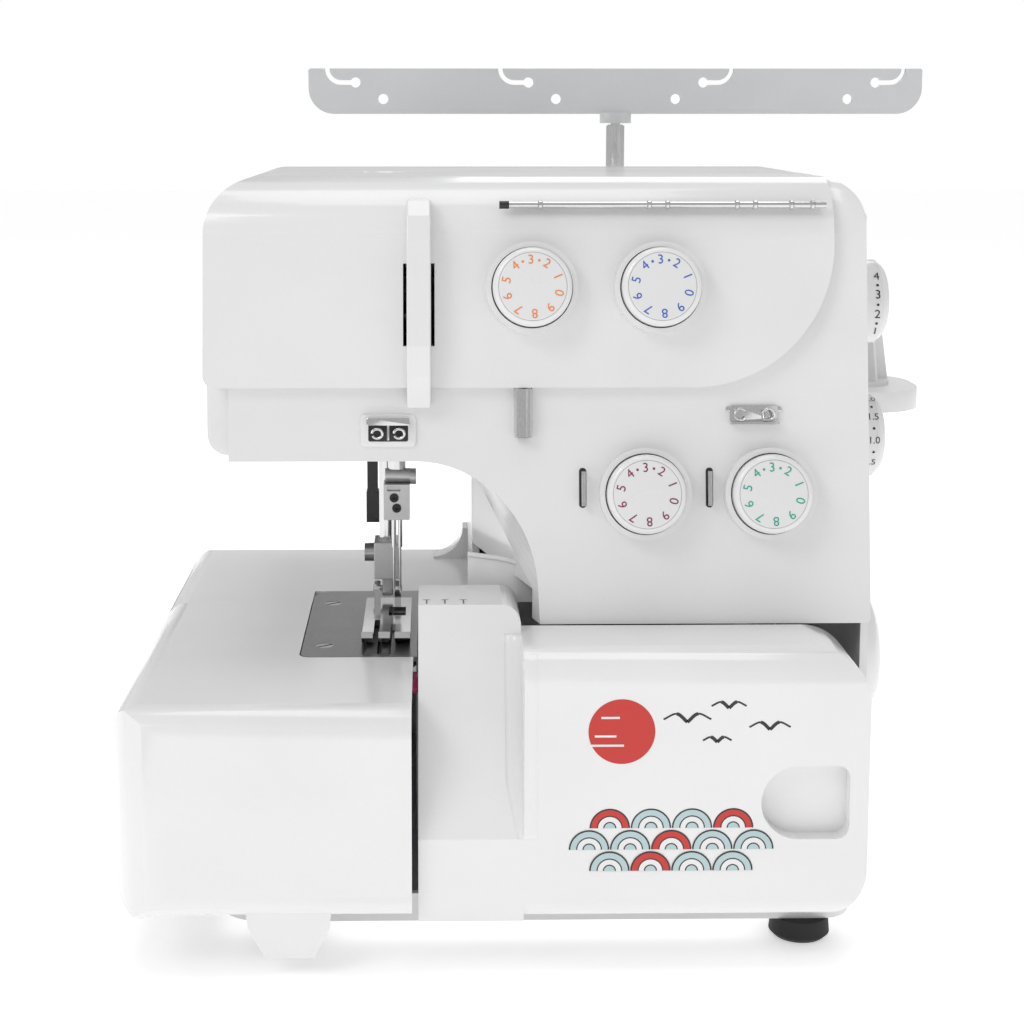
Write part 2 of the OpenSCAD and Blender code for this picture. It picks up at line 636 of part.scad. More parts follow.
// ---- Plate, needles and presser ----
module needle_plate() {
  color("#77797c") difference() {
    along_z(plate_z0, bed_z) panel(plate_x0, plate_y0, plate_x1, plate_y1, [plate_corner_r, 0, 0, 9]);
    for (r = dog_rows) block(r[0] - 0.8, r[1] + 0.8, dog_y0 - 2, dog_y1 + 5, plate_z0 - 1, bed_z + 1);
    block(needle_x - needle_pitch - 1.2, needle_x + 2, needle_y - 4, needle_y + 4, plate_z0 - 1, bed_z + 1);
    for (y = plate_screw_ys) rod_z(plate_z0 - 1, bed_z + 1, plate_x0 + 7.6, y, 3);
  }
}
plate_screw_ys = [plate_y0 + 14, plate_y1 - 18];
module plate_screws() {
  color("silver") for (y = plate_screw_ys) difference() {
    rod_z(plate_z0, bed_z - 0.1, plate_x0 + 7.6, y, 3);
    translate([plate_x0 + 7.6, y, bed_z]) rotate([0, 0, 35]) cube([8, 0.9, 1.2], center = true);
  }
}
clamp_z0 = bed_z + needle_up + 28.5;
module head_plate() {
  color("silver") difference() {
    union() {
      block(head_x0 + 15.5, bars_x + 10, needle_y - 22, presser_y + 12, head_low_z - 2.4, head_low_z - 0.05);
      block(bars_x + 8, bars_x + 10, needle_y - 22, presser_y + 12, head_low_z - 5, head_low_z - 2.4);
    }
    rod_z(head_low_z - 6, head_low_z + 1, bars_x, needle_y, needle_bar_d / 2 + 0.8);
    rod_z(head_low_z - 6, head_low_z + 1, presser_x, presser_y, presser_bar_d / 2 + 0.8);
  }
}
lug_z = [head_low_z + 3, head_low_z + 48];
lifter_pivot = [presser_y + 21, head_low_z + 11];
module arm_bracket() {
  color("#b4b6b8") difference() {
    union() {
      block(presser_x - 8, bars_x + 8, needle_y - 8, presser_y + 9, lug_z[0], lug_z[0] + 6);
      block(presser_x - 8, bars_x + 6.5, needle_y - 8, presser_y + 9, lug_z[1], lug_z[1] + 9);
      block(presser_x - 8, wall_a, presser_y + 8, presser_y + 13, lug_z[0], lug_z[1] + 9);
      rod_z(lug_z[1] + 8, lug_z[1] + 30, presser_x, presser_y, 7);
      block(presser_x - 2, presser_x + 2, lifter_pivot[0] - 9, lifter_pivot[0] + 4, lifter_pivot[1] - 4, lifter_pivot[1] + 4);
      rod_x(presser_x - 9, presser_x - 1, lifter_pivot[0], lifter_pivot[1], 2);
    }
    rod_z(head_low_z, head_top_z, bars_x, needle_y, needle_bar_d / 2 + run_gap);
    rod_z(head_low_z, head_top_z, presser_x, presser_y, presser_bar_d / 2 + run_gap);
    rod_z(lug_z[1] + 9, head_top_z, presser_x, presser_y, 4.4 + run_gap);
    difference() {
      block(take_up_x - 2, take_up_x + 2, presser_y, presser_y + 20, lug_z[1] - 22, lug_z[1] + 12);
      rod_x(take_up_x - 4, take_up_x + 4, take_up_y, take_up_z, 2.5);
    }
  }
}
take_up_y = presser_y + 10.5;
take_up_z = lug_z[1] + 4;
module needle_bar() {
  color("silver") {
    rod_z(clamp_z0 + 18.2, head_top_z - 6, bars_x, needle_y, needle_bar_d / 2);
    difference() {
      block(bars_x - 6, bars_x + 6, needle_y - 6, needle_y + 6, lug_z[0] + 32, lug_z[0] + 40);
      rod_z(lug_z[0] + 31, lug_z[0] + 41, bars_x, needle_y, needle_bar_d / 2);
    }
  }
}
module needle_clamp() {
  color("#c8c8c6") {
    difference() {
      block(bars_x - 4.7, bars_x + 4.7, needle_y - 5, needle_y + 4.5, clamp_z0, clamp_z0 + 13);
      block(bars_x - 3.4, bars_x + 1.4, needle_y - 6, needle_y - 3.6, clamp_z0 + 10.6, clamp_z0 + 12.4);
      for (s = set_screws) rod_y(needle_y - 6, needle_y - 1, bars_x + s[0], clamp_z0 + s[1], 1.65);
    }
    difference() {
      rod_x(bars_x - 4.2, bars_x + 4.7, needle_y, clamp_z0 + 15.6, 2.6);
      block(bars_x - 6, bars_x + 6, needle_y - 5, needle_y + 5, clamp_z0 + 10, clamp_z0 + 13);
    }
  }
  color("#444444") rod_x(bars_x + 4.7, bars_x + 7, needle_y, clamp_z0 + 15.2, 2.9);
}
set_screws = [[-0.9, 8.2], [0, 4.4]];
module clamp_screws() {
  color("#222222") for (s = set_screws) difference() {
    rod_y(needle_y - 5.4, needle_y - 1, bars_x + s[0], clamp_z0 + s[1], 1.65);
    rod_y(needle_y - 6, needle_y - 4.4, bars_x + s[0], clamp_z0 + s[1], 0.8, $fn = 6);
  }
}
module needles() {
  color("silver") for (x = [needle_x - needle_pitch, needle_x]) {
    translate([x, needle_y, bed_z + needle_up]) cylinder(h = 2, r1 = 0.08, r2 = needle_d / 2);
    rod_z(bed_z + needle_up + 2, clamp_z0 - 11, x, needle_y, needle_d / 2);
    rod_z(clamp_z0 - 11, clamp_z0, x, needle_y, 0.85);
  }
}
// A point of the take-up cover's side view, at height z and stood out by s
function out_from(z, s) = [panel_y(z) - s / cos(lean), z];
module take_up_cover() {
  color("white") difference() {
    along_x(take_up_x - 3.9, take_up_x + 3.9) polygon([out_from(175, 0.1), out_from(175, 5), out_from(186, 11),
      out_from(196, 13), out_from(230, 13), out_from(238, 11), out_from(243, 6), out_from(243, -8), out_from(200, 0)]);
    along_x(take_up_x - 5, take_up_x + 5) head_side(shell_proud, shell_z0, split_y, 0);
    along_x(take_up_x - 2.2, take_up_x + 2.2) polygon([out_from(192, 4), out_from(192, 10.5), out_from(232, 10.5),
      out_from(232, 4)]);
  }
}
module take_up_lever() {
  color("silver") difference() {
    union() {
      rod_x(take_up_x - 1.2, take_up_x + 1.2, take_up_y, take_up_z, 5);
      block(take_up_x - 1.2, take_up_x + 1.2, panel_y(take_up_z) - 8.5, take_up_y, take_up_z - 2.5, take_up_z + 2.5);
      rod_x(take_up_x - 1.2, take_up_x + 1.2, panel_y(take_up_z) - 6, take_up_z, 2.8);
    }
    rod_x(take_up_x - 3, take_up_x + 3, take_up_y, take_up_z, 2.5 + run_gap);
    rod_x(take_up_x - 3, take_up_x + 3, panel_y(take_up_z) - 6, take_up_z, 1.2);
  }
}
module presser_bar() {
  color("silver") {
    rod_z(bed_z + 27, lug_z[1] + 3, presser_x, presser_y, presser_bar_d / 2);
    difference() {
      rod_z(lug_z[0] + 20, lug_z[0] + 25, presser_x, presser_y, 5);
      rod_z(lug_z[0] + 19, lug_z[0] + 26, presser_x, presser_y, presser_bar_d / 2);
    }
  }
}
foot_y = presser_y + 1;
foot_z = bed_z + 7.5;
module foot_holder() {
  color("#b9bbbd") difference() {
    union() {
      block(presser_x - 4.8, presser_x + 5, presser_y - 8.5, presser_y + 4.5, bed_z + 13, bed_z + 27);
      block(presser_x - 2, presser_x + 2, foot_y - 3, foot_y + 3, foot_z, bed_z + 14);
      rod_x(presser_x - 2, presser_x + 2, foot_y, foot_z, 3);
    }
    rod_x(presser_x - 3, presser_x + 3, foot_y, foot_z, 1.2 + run_gap);
  }
}
module foot_screw() {
  color("#666666") {
    rod_x(presser_x - 8.4, presser_x - 4.8, presser_y - 2, bed_z + 22, 3.4);
  }
}
foot_x0 = presser_x - 8;
foot_x1 = presser_x + 9;
module presser_foot() {
  color("#8f9193") {
    difference() {
      along_x(foot_x0, foot_x1) polygon([[foot_y - 54, bed_z + 3.4], [foot_y - 49, bed_z + 0.5], [foot_y + 1, bed_z + 0.5],
        [foot_y + 3.5, bed_z + 1.8], [foot_y + 3.5, bed_z + 2.8], [foot_y - 47, bed_z + 2.8], [foot_y - 53, bed_z + 5.4]]);
      block(needle_x - needle_pitch - 2, needle_x + 2, needle_y - 6, needle_y + 6, bed_z, bed_z + 6);
      block(foot_x0 + 4, foot_x0 + 6, foot_y - 60, foot_y - 28, bed_z, bed_z + 7);
      block(foot_x0 + 10, foot_x0 + 11.6, foot_y - 60, foot_y - 34, bed_z, bed_z + 7);
    }
    for (x = [presser_x - 5, presser_x + 2.6]) difference() {
      union() {
        block(x, x + 2.4, foot_y - 3, foot_y + 3, bed_z + 2.8, foot_z);
        rod_x(x, x + 2.4, foot_y, foot_z, 3);
      }
      rod_x(x - 1, x + 4, foot_y, foot_z, 1.2);
    }
    rod_x(presser_x - 5.4, presser_x + 5.4, foot_y, foot_z, 1.2);
  }
}
module presser_lifter() {
  color("#1c1c1c") difference() {
    union() {
      rod_x(presser_x - 8, presser_x - 4, lifter_pivot[0], lifter_pivot[1], 5);
      block(presser_x - 8, presser_x - 4, lifter_pivot[0] - 4, lifter_pivot[0] + 2, head_low_z - 30, lifter_pivot[1]);
      along_x(presser_x - 8.4, presser_x - 2.4) polygon([[lifter_pivot[0] - 4, head_low_z - 41],
        [lifter_pivot[0] + 16, head_low_z - 41], [lifter_pivot[0] + 16, head_low_z - 37],
        [lifter_pivot[0] + 2, head_low_z - 29], [lifter_pivot[0] - 4, head_low_z - 29]]);
    }
    rod_x(presser_x - 10, presser_x + 2, lifter_pivot[0], lifter_pivot[1], 2 + run_gap);
  }
}
module pressure_screw() {
  color("silver") difference() {
    union() {
      rod_z(lug_z[1] + 12, head_top_z - 3, presser_x, presser_y, 4.4);
      rod_z(head_top_z - 4, head_top_z - 1.4, presser_x, presser_y, 5);
    }
    block(presser_x - 6, presser_x + 6, presser_y - 0.7, presser_y + 0.7, head_top_z - 2.8, head_top_z);
  }
}
// ---- Feeding, looping and cutting ----
dog_y0 = plate_y0 + 5;
dog_y1 = plate_y0 + 66;
dog_rows = [[presser_x - 6.2, presser_x - 2.4], [presser_x - 0.9, presser_x + 1.6]];
module feed_dogs() {
  color("#2c2c2e") {
    for (r = dog_rows) {
      block(r[0], r[1], dog_y0, dog_y1, bed_z - 7, bed_z - 1.2);
      for (i = [0:18]) along_x(r[0], r[1])
        translate([dog_y0 + 1 + i * 3.1, bed_z - 1.2]) polygon([[0, 0], [1.6, 1], [2.6, 0]]);
    }
    for (y = [dog_y0 + 18, dog_y1 - 6]) block(dog_rows[0][0], dog_rows[1][1], y, y + 5, bed_z - 11, bed_z - 7);
  }
}
module blade_arc(r, from, to, w) {
  translate([0, 0, -w / 2]) rotate([0, 0, from]) rotate_extrude(angle = to - from) translate([r - 1.1, 0]) square([2.2, w]);
}
module upper_looper() {
  color("silver") {
    rod_y(split_y - 10.5, split_y + 6, upper_pivot[0], upper_pivot[1], looper_shaft_r);
    difference() {
      rod_y(split_y - 11, split_y - 8.4, upper_pivot[0], upper_pivot[1], 5.4);
      rod_y(split_y - 12, split_y - 8, upper_pivot[0], upper_pivot[1], looper_shaft_r);
    }
    translate([upper_pivot[0], split_y - 9.7, upper_pivot[1]]) rotate([90, 0, 0]) {
      translate([24.5, 0, 0]) blade_arc(26, 124, 180, 1.8);
      translate([-2.6, 0, -0.9]) cube([4.4, 8, 1.8]);
    }
  }
}
module lower_looper() {
  color("silver") {
    rod_y(needle_y + 2.4, needle_y + 26, lower_pivot[0], lower_pivot[1], looper_shaft_r);
    difference() {
      rod_y(needle_y + 1.6, needle_y + 4.4, lower_pivot[0], lower_pivot[1], 5.4);
      rod_y(needle_y + 1, needle_y + 5, lower_pivot[0], lower_pivot[1], looper_shaft_r);
    }
    translate([lower_pivot[0], needle_y + 3, lower_pivot[1]]) rotate([90, 0, 0]) {
      translate([24, 0, 0]) blade_arc(25.2, 110, 178, 1.8);
      translate([-3, 0, -0.9]) cube([4.4, 8, 1.8]);
    }
  }
}
knife_x = looper_x0 + 3.4;
module upper_knife() {
  color("silver") difference() {
    union() {
      rod_x(knife_x, knife_x + 1.8, knife_pivot[0], knife_pivot[1], 6);
      along_x(knife_x, knife_x + 1.8) polygon([[knife_pivot[0] - 3, knife_pivot[1] + 4], [knife_y0 + 8, knife_pivot[1] + 18],
        [knife_y0 + 8, bed_z + 9], [knife_y0, bed_z + 5], [knife_y0, knife_pivot[1] + 23], [knife_pivot[0], knife_pivot[1] + 8]]);
    }
    rod_x(knife_x - 1, knife_x + 3, knife_pivot[0], knife_pivot[1], 3 + run_gap);
  }
}
module lower_knife() {
  color("silver") block(plate_x1 + 1.5, plate_x1 + 3, knife_y0, knife_y0 + 8, bed_plate_z - 8, bed_z - 0.2);
}

// ---- Drive ----
module main_shaft() {
  color("silver") {
    rod_x(side_x1 - 31.1, head_x1 + 21.6, shaft_y, shaft_z, shaft_r);
    for (x = [looper_x0 + 4, wall_a + 22, wall_a + 40]) translate([x, shaft_y, shaft_z]) rotate([0, 90, 0])
      difference() {
        translate([x == wall_a + 22 ? 1.5 : 0, 0, 0]) cylinder(h = 9, r = 8.4 - 0.2);
        translate([0, 0, -1]) cylinder(h = 11, r = shaft_r);
      }
    difference() {
      rod_x(pulley_x0, pulley_x0 + pulley_w, shaft_y, shaft_z, 24);
      rod_x(pulley_x0 - 1, pulley_x0 + pulley_w + 1, shaft_y, shaft_z, shaft_r);
    }
  }
}
module shaft_bushes() {
  color("#c9a24a") for (x = [wall_a, wall_b]) difference() {
    rod_x(x - 0.3, x + rib_t + 0.3, shaft_y, shaft_z, bush_r);
    rod_x(x - 1, x + rib_t + 1, shaft_y, shaft_z, shaft_r + run_gap);
  }
}
module handwheel() {
  color("white") translate([head_x1 + 0.8, shaft_y, shaft_z]) rotate([0, 90, 0]) difference() {
    rotate_extrude() difference() {
      panel(0, 0, wheel_r, wheel_w, [0, 3, 15, 0]);
      translate([0, wheel_w - 4]) square([0.01, 1]);
    }
    translate([0, 0, -1]) cylinder(h = 22, r = shaft_r);
    rotate_extrude() panel(shaft_r + 4, -1, wheel_r - 4, wheel_w - 14, [0, 0, 4, 0]);
  }
}
module motor() {
  color("#54565a") difference() {
    union() {
      rod_x(wall_b - 56, wall_b, motor_y, motor_z, motor_r);
      for (a = [0:11]) translate([wall_b - 50, motor_y, motor_z]) rotate([a * 30, 0, 0])
        translate([0, -1, motor_r - 0.5]) cube([40, 2, 1.5]);
    }
    rod_x(wall_b - 20, wall_b + 1, motor_y, motor_z, motor_shaft_r + run_gap);
  }
}
module motor_pulley() {
  color("#3c3c3e") {
    rod_x(wall_b - 19, pulley_x0 + pulley_w, motor_y, motor_z, motor_shaft_r);
    difference() {
      rod_x(pulley_x0, pulley_x0 + pulley_w, motor_y, motor_z, 6);
      rod_x(pulley_x0 - 1, pulley_x0 + pulley_w + 1, motor_y, motor_z, motor_shaft_r);
    }
  }
}
module belt_outline(g) {
  hull() {
    translate([shaft_y, shaft_z]) circle(24 + g);
    translate([motor_y, motor_z]) circle(6 + g);
  }
}
module drive_belt() {
  color("#1a1a1a") along_x(pulley_x0 + 1, pulley_x0 + pulley_w - 1) difference() {
    belt_outline(1.8);
    belt_outline(0.3);
  }
}

// ---- Thread guides ----
module long_thread_guide() {
  gz = head_top_z - 9;
  color("silver") {
    along_x(head_x0 + 97.8, head_x0 + 205.8) difference() {
      union() {
        translate([shell_y(gz) - 4.6, gz - 1]) square([8, 1.2]);
        translate([shell_y(gz) - 4.6, gz - 2]) square([1.2, 4]);
      }
      head_side(shell_proud, shell_z0, split_y, 0);
    }
    for (x = [111, 147, 153, 176, 182, 194, 201]) rod_x(head_x0 + x, head_x0 + x + 2, shell_y(gz) - 4, gz + 1.6, 1.4);
  }
}
module tube_guide() {
  color("silver") on_panel(head_x0 + 105.7, 172.5) rotate([90, 0, 0]) difference() {
    translate([0, 2, -8]) cylinder(h = 16, r = 2.9);
    translate([0, 2, -9]) cylinder(h = 18, r = 2.2);
    translate([-5, -5, -9]) cube([10, 5 + eps, 18]);
  }
}
module double_hook_guide() {
  color("silver") on_panel(head_x0 + 182.2, 172.2) {
    translate([-8, -3.4, eps]) cube([16, 6.4, 1]);
    for (x = [-4.5, 4.5]) translate([x, -0.5, 1]) difference() {
      cylinder(h = 3, r = 2.1);
      translate([0, 0, 1]) cylinder(h = 3, r = 1.2);
    }
    translate([-8, -3.4, 1]) cube([16, 1, 3.4]);
  }
}
module needle_thread_guide() {
  color("silver") on_panel(bars_x - 1.6, 166.4) {
    translate([-6.8, -4, eps]) cube([13.6, 8, 0.8]);
    translate([-6.8, 2.8, 0.8]) cube([13.6, 1.2, 3.2]);
    for (x = [-3.4, 3.4]) translate([x, -1, 0.8]) rotate_extrude() translate([1.3, 0]) square([0.8, 2.4]);
  }
}
module wire_hooks() {
  color("silver") for (x = hook_xs) on_panel(x, hook_z) {
    for (y = [-hook_half, hook_half]) translate([0, y, -2.6]) cylinder(h = 6.2, r = hook_r);
    translate([0, 0, 3]) rotate([90, 0, 0]) translate([0, 0, -hook_half - hook_r]) cylinder(h = 2 * (hook_half + hook_r), r = hook_r);
  }
}

// ---- Dials and knobs ----
function dial_out(i) = i < 2 ? shell_proud : 0;
module dial_collars() {
  color("white") for (i = [0:3]) on_panel(dials[i][0], dials[i][1], dial_out(i)) difference() {
    cylinder(h = 6, r = collar_r);
    translate([0, 0, -1]) cylinder(h = 8, r = dial_r + part_gap);
  }
}
module tension_dial(i) {
  color("white") on_panel(dials[i][0], dials[i][1], dial_out(i)) {
    rotate_extrude() panel(0, 0.4, dial_r, dial_h, [0, 0, 2, 0]);
    translate([0, 0, -14]) cylinder(h = 14.5, r = 3);
  }
}
module side_dial(i) {
  color("white") translate([head_x1 + 0.8, side_dial_y, side_dial_zs[i]]) rotate([0, 90, 0]) difference() {
    union() {
      rotate_extrude() panel(0, 0, side_dial_r, 23, [0, 1, 6, 0]);
      translate([0, 0, -(head_x1 + 0.8 - wall_b)]) cylinder(h = head_x1 + 1 - wall_b, r = 4);
    }
    for (k = [0:35]) rotate([0, 0, k * 10]) translate([side_dial_r, 0, 13]) cylinder(h = 12, r = 0.45);
  }
}
module finger_knob() {
  color("#d8467e") translate([plate_x1 - 0.8, plate_y0 - 6, bed_z - 8]) {
    sphere(r = 2.9);
    translate([-2.9, 0, -1.5]) cube([3.9, 10, 3]);
  }
}
module power_inlet() {
  color("#1e1e20") {
    difference() {
      block(head_x1 - 14, head_x1 + 0.6, inlet_y + 0.02, inlet_y + 21.98, 24.02, 39.98);
      block(head_x1 - 11, head_x1 + 1, inlet_y + 2.5, inlet_y + 19.5, 26.5, 37.5);
    }
    for (y = [7, 15]) rod_x(head_x1 - 12, head_x1 - 3, inlet_y + y, 32, 1.2);
  }
}
module power_switch() {
  color("#1e1e20") intersection() {
    rod_x(head_x1 - 5, head_x1 + 2.4, inlet_y + 6, 60, 20);
    rod_y(inlet_y, inlet_y + 12, head_x1 - 6, 60, 9.2);
    block(head_x1 - 5, head_x1 + 3, inlet_y, inlet_y + 12, 51.4, 68.6);
  }
}

// ---- Thread stand ----
module spool_tray() {
  color("white") difference() {
    union() {
      along_z(tray_z - tray_t, tray_z) panel(pole_x - bar_l / 2, back_y - tray_d, right_x, back_y, [24, 24, 24, 24]);
      block(pole_x - 34, pole_x + 34, head_back_y, back_y - tray_d + 1, tray_z - tray_t, tray_z - 1.5);
      rod_z(tray_z - tray_t - 5, tray_z - tray_t + 1, pole_x, stand_y, pole_d / 2 + 4);
      for (x = pin_xs) {
        rod_z(tray_z - 1, tray_z + pin_h - pin_d / 2, x, stand_y, pin_d / 2);
        translate([x, stand_y, tray_z + pin_h - pin_d / 2]) sphere(pin_d / 2);
      }
    }
    rod_z(tray_z - tray_t - 4, tray_z + 1, pole_x, stand_y, pole_d / 2);
  }
}
module cone_holders() {
  color("white") for (x = pin_xs) translate([x, stand_y, tray_z]) difference() {
    union() {
      cylinder(h = 2, r = cone_r);
      cylinder(h = cone_h, r = pin_d / 2 + 1.6);
      for (a = [0:5]) rotate([90, 0, a * 60]) translate([0, 0, -0.6]) linear_extrude(1.2)
        polygon([[0, 0], [cone_r, 0], [cone_r - cone_h * 0.13, cone_h - 4], [pin_d / 2 + 1, cone_h], [0, cone_h]]);
    }
    translate([0, 0, -1]) cylinder(h = cone_h + 2, r = pin_d / 2 + run_gap);
  }
}
module pole_tube(z0, z1, r, t) {
  translate([pole_x, stand_y, z0]) difference() {
    cylinder(h = z1 - z0, r = r);
    translate([0, 0, -1]) cylinder(h = z1 - z0 + 2, r = r - t);
  }
}
module pole_outer() {
  color("silver") pole_tube(tray_z - tray_t - 4, pole_top_z, pole_d / 2, pole_wall);
}
module pole_middle() {
  color("silver") pole_tube(tray_z + 2, pole_top_z + 0.4, mid_r, pole_mid_wall);
}
module pole_top() {
  color("silver") {
    rod_z(tray_z + 3, bar_z0 - 0.02, pole_x, stand_y, top_r);
  }
}
module thread_guide_bar() {
  color("#e8e8e8") difference() {
    union() {
      along_y(stand_y - bar_t / 2, stand_y + bar_t / 2)
        panel(pole_x - bar_l / 2, bar_z0, pole_x + bar_l / 2, bar_z0 + bar_h, [11, 11, 1, 1]);
      rod_z(pole_top_z + 1, bar_z0 + 0.5, pole_x, stand_y, 6.8);
    }
    rod_z(pole_top_z, bar_z0 - 0.01, pole_x, stand_y, top_r);
    along_y(stand_y - bar_t, stand_y + bar_t) for (s = [-1, 1], k = [0, 1]) {
      x = pole_x + s * (113 - k * 75);
      translate([x, bar_z0 + bar_h - 6]) circle(2.2);
      translate([x - s * 12, bar_z0 + 6.4]) circle(2.2);
      translate([x + (s > 0 ? 0 : -6.2), bar_z0 + bar_h - 7]) square([6.2, 2]);
      translate([x + s * 6.2, bar_z0 + bar_h]) intersection() {
        difference() {
          circle(7);
          circle(5);
        }
        translate([s > 0 ? 0 : -8, -8]) square([8, 9]);
      }
    }
  }
}

base_tray();
rubber_feet();
frame_casting();
rear_housing();
rear_bed_cover();
front_cover();
upper_shell();
side_cover();
side_cover_pin();
looper_cover();
cover_hinge_rod();
cover_sleeve();
needle_plate();
plate_screws();
head_plate();
arm_bracket();
needle_bar();
needle_clamp();
needles();
clamp_screws();
take_up_cover();
take_up_lever();
presser_bar();
foot_holder();
foot_screw();
presser_foot();
presser_lifter();
pressure_screw();
feed_dogs();
upper_looper();
lower_looper();
upper_knife();
lower_knife();
main_shaft();
shaft_bushes();
handwheel();
motor();
motor_pulley();
drive_belt();
long_thread_guide();
tube_guide();
double_hook_guide();
needle_thread_guide();
wire_hooks();
dial_collars();
tension_dial(0);  // tension_dial_1
tension_dial(1);  // tension_dial_2
tension_dial(2);  // tension_dial_3
tension_dial(3);  // tension_dial_4
side_dial(0);  // stitch_length_dial
side_dial(1);  // differential_dial
finger_knob();
power_inlet();
power_switch();
spool_tray();
cone_holders();
pole_outer();
pole_middle();
pole_top();
thread_guide_bar();
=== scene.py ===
"""Looks of a two-needle overlock sewing machine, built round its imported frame.

Every length is in metres in the frame's own axes: X runs to the right, Y to the back and Z up.
"""

import logging
import math
from dataclasses import dataclass, field
from enum import Enum
from typing import Iterable

import bmesh
import bpy
from mathutils import Euler, Matrix, Vector


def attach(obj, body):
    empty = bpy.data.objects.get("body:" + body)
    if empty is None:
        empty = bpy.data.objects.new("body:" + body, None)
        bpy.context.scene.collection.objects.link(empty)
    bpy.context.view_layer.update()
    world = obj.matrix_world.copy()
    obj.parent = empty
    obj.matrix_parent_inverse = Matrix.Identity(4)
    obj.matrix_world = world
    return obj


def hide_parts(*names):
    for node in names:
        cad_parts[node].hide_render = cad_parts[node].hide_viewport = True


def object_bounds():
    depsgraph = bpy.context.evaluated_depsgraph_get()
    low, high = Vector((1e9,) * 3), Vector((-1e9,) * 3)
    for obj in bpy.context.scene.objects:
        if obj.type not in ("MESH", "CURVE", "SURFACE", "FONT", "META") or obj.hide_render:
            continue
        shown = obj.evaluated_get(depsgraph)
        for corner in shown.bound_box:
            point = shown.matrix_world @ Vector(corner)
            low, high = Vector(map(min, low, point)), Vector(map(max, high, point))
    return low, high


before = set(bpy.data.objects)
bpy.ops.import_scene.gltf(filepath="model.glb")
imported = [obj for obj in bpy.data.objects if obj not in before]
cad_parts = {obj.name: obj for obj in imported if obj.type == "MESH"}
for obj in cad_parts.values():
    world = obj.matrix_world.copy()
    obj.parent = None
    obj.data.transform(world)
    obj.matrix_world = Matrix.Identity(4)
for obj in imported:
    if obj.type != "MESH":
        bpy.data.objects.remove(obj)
CAD_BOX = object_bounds()

LOG = logging.getLogger("overlock")
MM = 0.001
LEAN = math.radians(9.7)  # how far the head's front leans back
MERGE = 0.000001  # corners nearer than this are one
PAINT = 0.00006  # how far a print stands off its surface
WELD = 0.000004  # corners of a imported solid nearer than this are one
SHARP = math.radians(38)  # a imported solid's edges sharper than this are softened
RAMP = (0.3, 0.7)  # where a finish's darkest and lightest shades stand on its effect
COAT_ROUGHNESS = 0.06
BUMP_STRENGTH = 0.35
SENSOR = 36.0  # the width of the camera's sensor, in millimetres
TARGET = Vector((0, 0, 0.12))  # where the lights look

Value = float | bpy.types.NodeSocket


# ---- shader groups
def new_group(name: str, inputs: dict[str, float], outputs: Iterable[str]) -> tuple:
    """Starts a shader node group.

    Args:
        name: the group's name.
        inputs: each number input and its default.
        outputs: the names of the number outputs.

    Returns:
        The group, its input node and its output node.
    """
    group = bpy.data.node_groups.new(name, "ShaderNodeTree")
    for label, value in inputs.items():
        socket = group.interface.new_socket(label, in_out="INPUT", socket_type="NodeSocketFloat")
        socket.default_value = value
    for label in outputs:
        group.interface.new_socket(label, in_out="OUTPUT", socket_type="NodeSocketFloat")
    return group, group.nodes.new("NodeGroupInput"), group.nodes.new("NodeGroupOutput")


def math_node(tree: bpy.types.NodeTree, kind: str, a: Value, b: Value) -> bpy.types.NodeSocket:
    """Adds a Math node.

    Args:
        tree: the node tree.
        kind: the operation.
        a: a socket or a number.
        b: a socket or a number.

    Returns:
        The result socket.
    """
    node = tree.nodes.new("ShaderNodeMath")
    node.operation = kind
    for slot, value in zip(node.inputs, (a, b)):
        if isinstance(value, (int, float)):
            slot.default_value = value
        else:
            tree.links.new(value, slot)
    return node.outputs[0]


def mapped_noise(
    tree: bpy.types.NodeTree, scale: Value, stretch: tuple[float, float, float], detail: float
) -> bpy.types.NodeSocket:
    """Adds object-space noise.

    Args:
        tree: the node tree.
        scale: a socket or a number, in repeats per metre.
        stretch: how the space is scaled on each axis first.
        detail: the number of octaves.

    Returns:
        The noise value, from 0 to 1.
    """
    place = tree.nodes.new("ShaderNodeTexCoord")
    mapping = tree.nodes.new("ShaderNodeMapping")
    mapping.inputs["Scale"].default_value = stretch
    noise = tree.nodes.new("ShaderNodeTexNoise")
    noise.inputs["Detail"].default_value = detail
    tree.links.new(place.outputs["Object"], mapping.inputs["Vector"])
    tree.links.new(mapping.outputs["Vector"], noise.inputs["Vector"])
    if isinstance(scale, (int, float)):
        noise.inputs["Scale"].default_value = scale
    else:
        tree.links.new(scale, noise.inputs["Scale"])
    return noise.outputs["Fac"]


def build_skin_group() -> bpy.types.NodeTree:
    """Builds the moulded or cast skin: fine grain, slow flow marks and handling smudges.

    Returns:
        The group.
    """
    group, start, end = new_group(
        "skin", {"Grain Scale": 900.0, "Flow Scale": 18.0, "Smudge": 0.3}, ("Shade", "Sheen", "Height")
    )
    grain = mapped_noise(group, start.outputs["Grain Scale"], (1, 1, 1), 3.0)
    flow = mapped_noise(group, start.outputs["Flow Scale"], (1, 1, 1.6), 2.0)
    smudge = mapped_noise(group, 42.0, (1, 1, 1), 5.0)
    marked = math_node(group, "MULTIPLY", smudge, start.outputs["Smudge"])
    slow = math_node(group, "MULTIPLY", flow, 0.75)
    shade = math_node(group, "ADD", slow, math_node(group, "MULTIPLY", grain, 0.25))
    group.links.new(shade, end.inputs["Shade"])
    sheen = math_node(group, "ADD", math_node(group, "MULTIPLY", flow, 0.5), marked)
    group.links.new(sheen, end.inputs["Sheen"])
    group.links.new(grain, end.inputs["Height"])
    return group


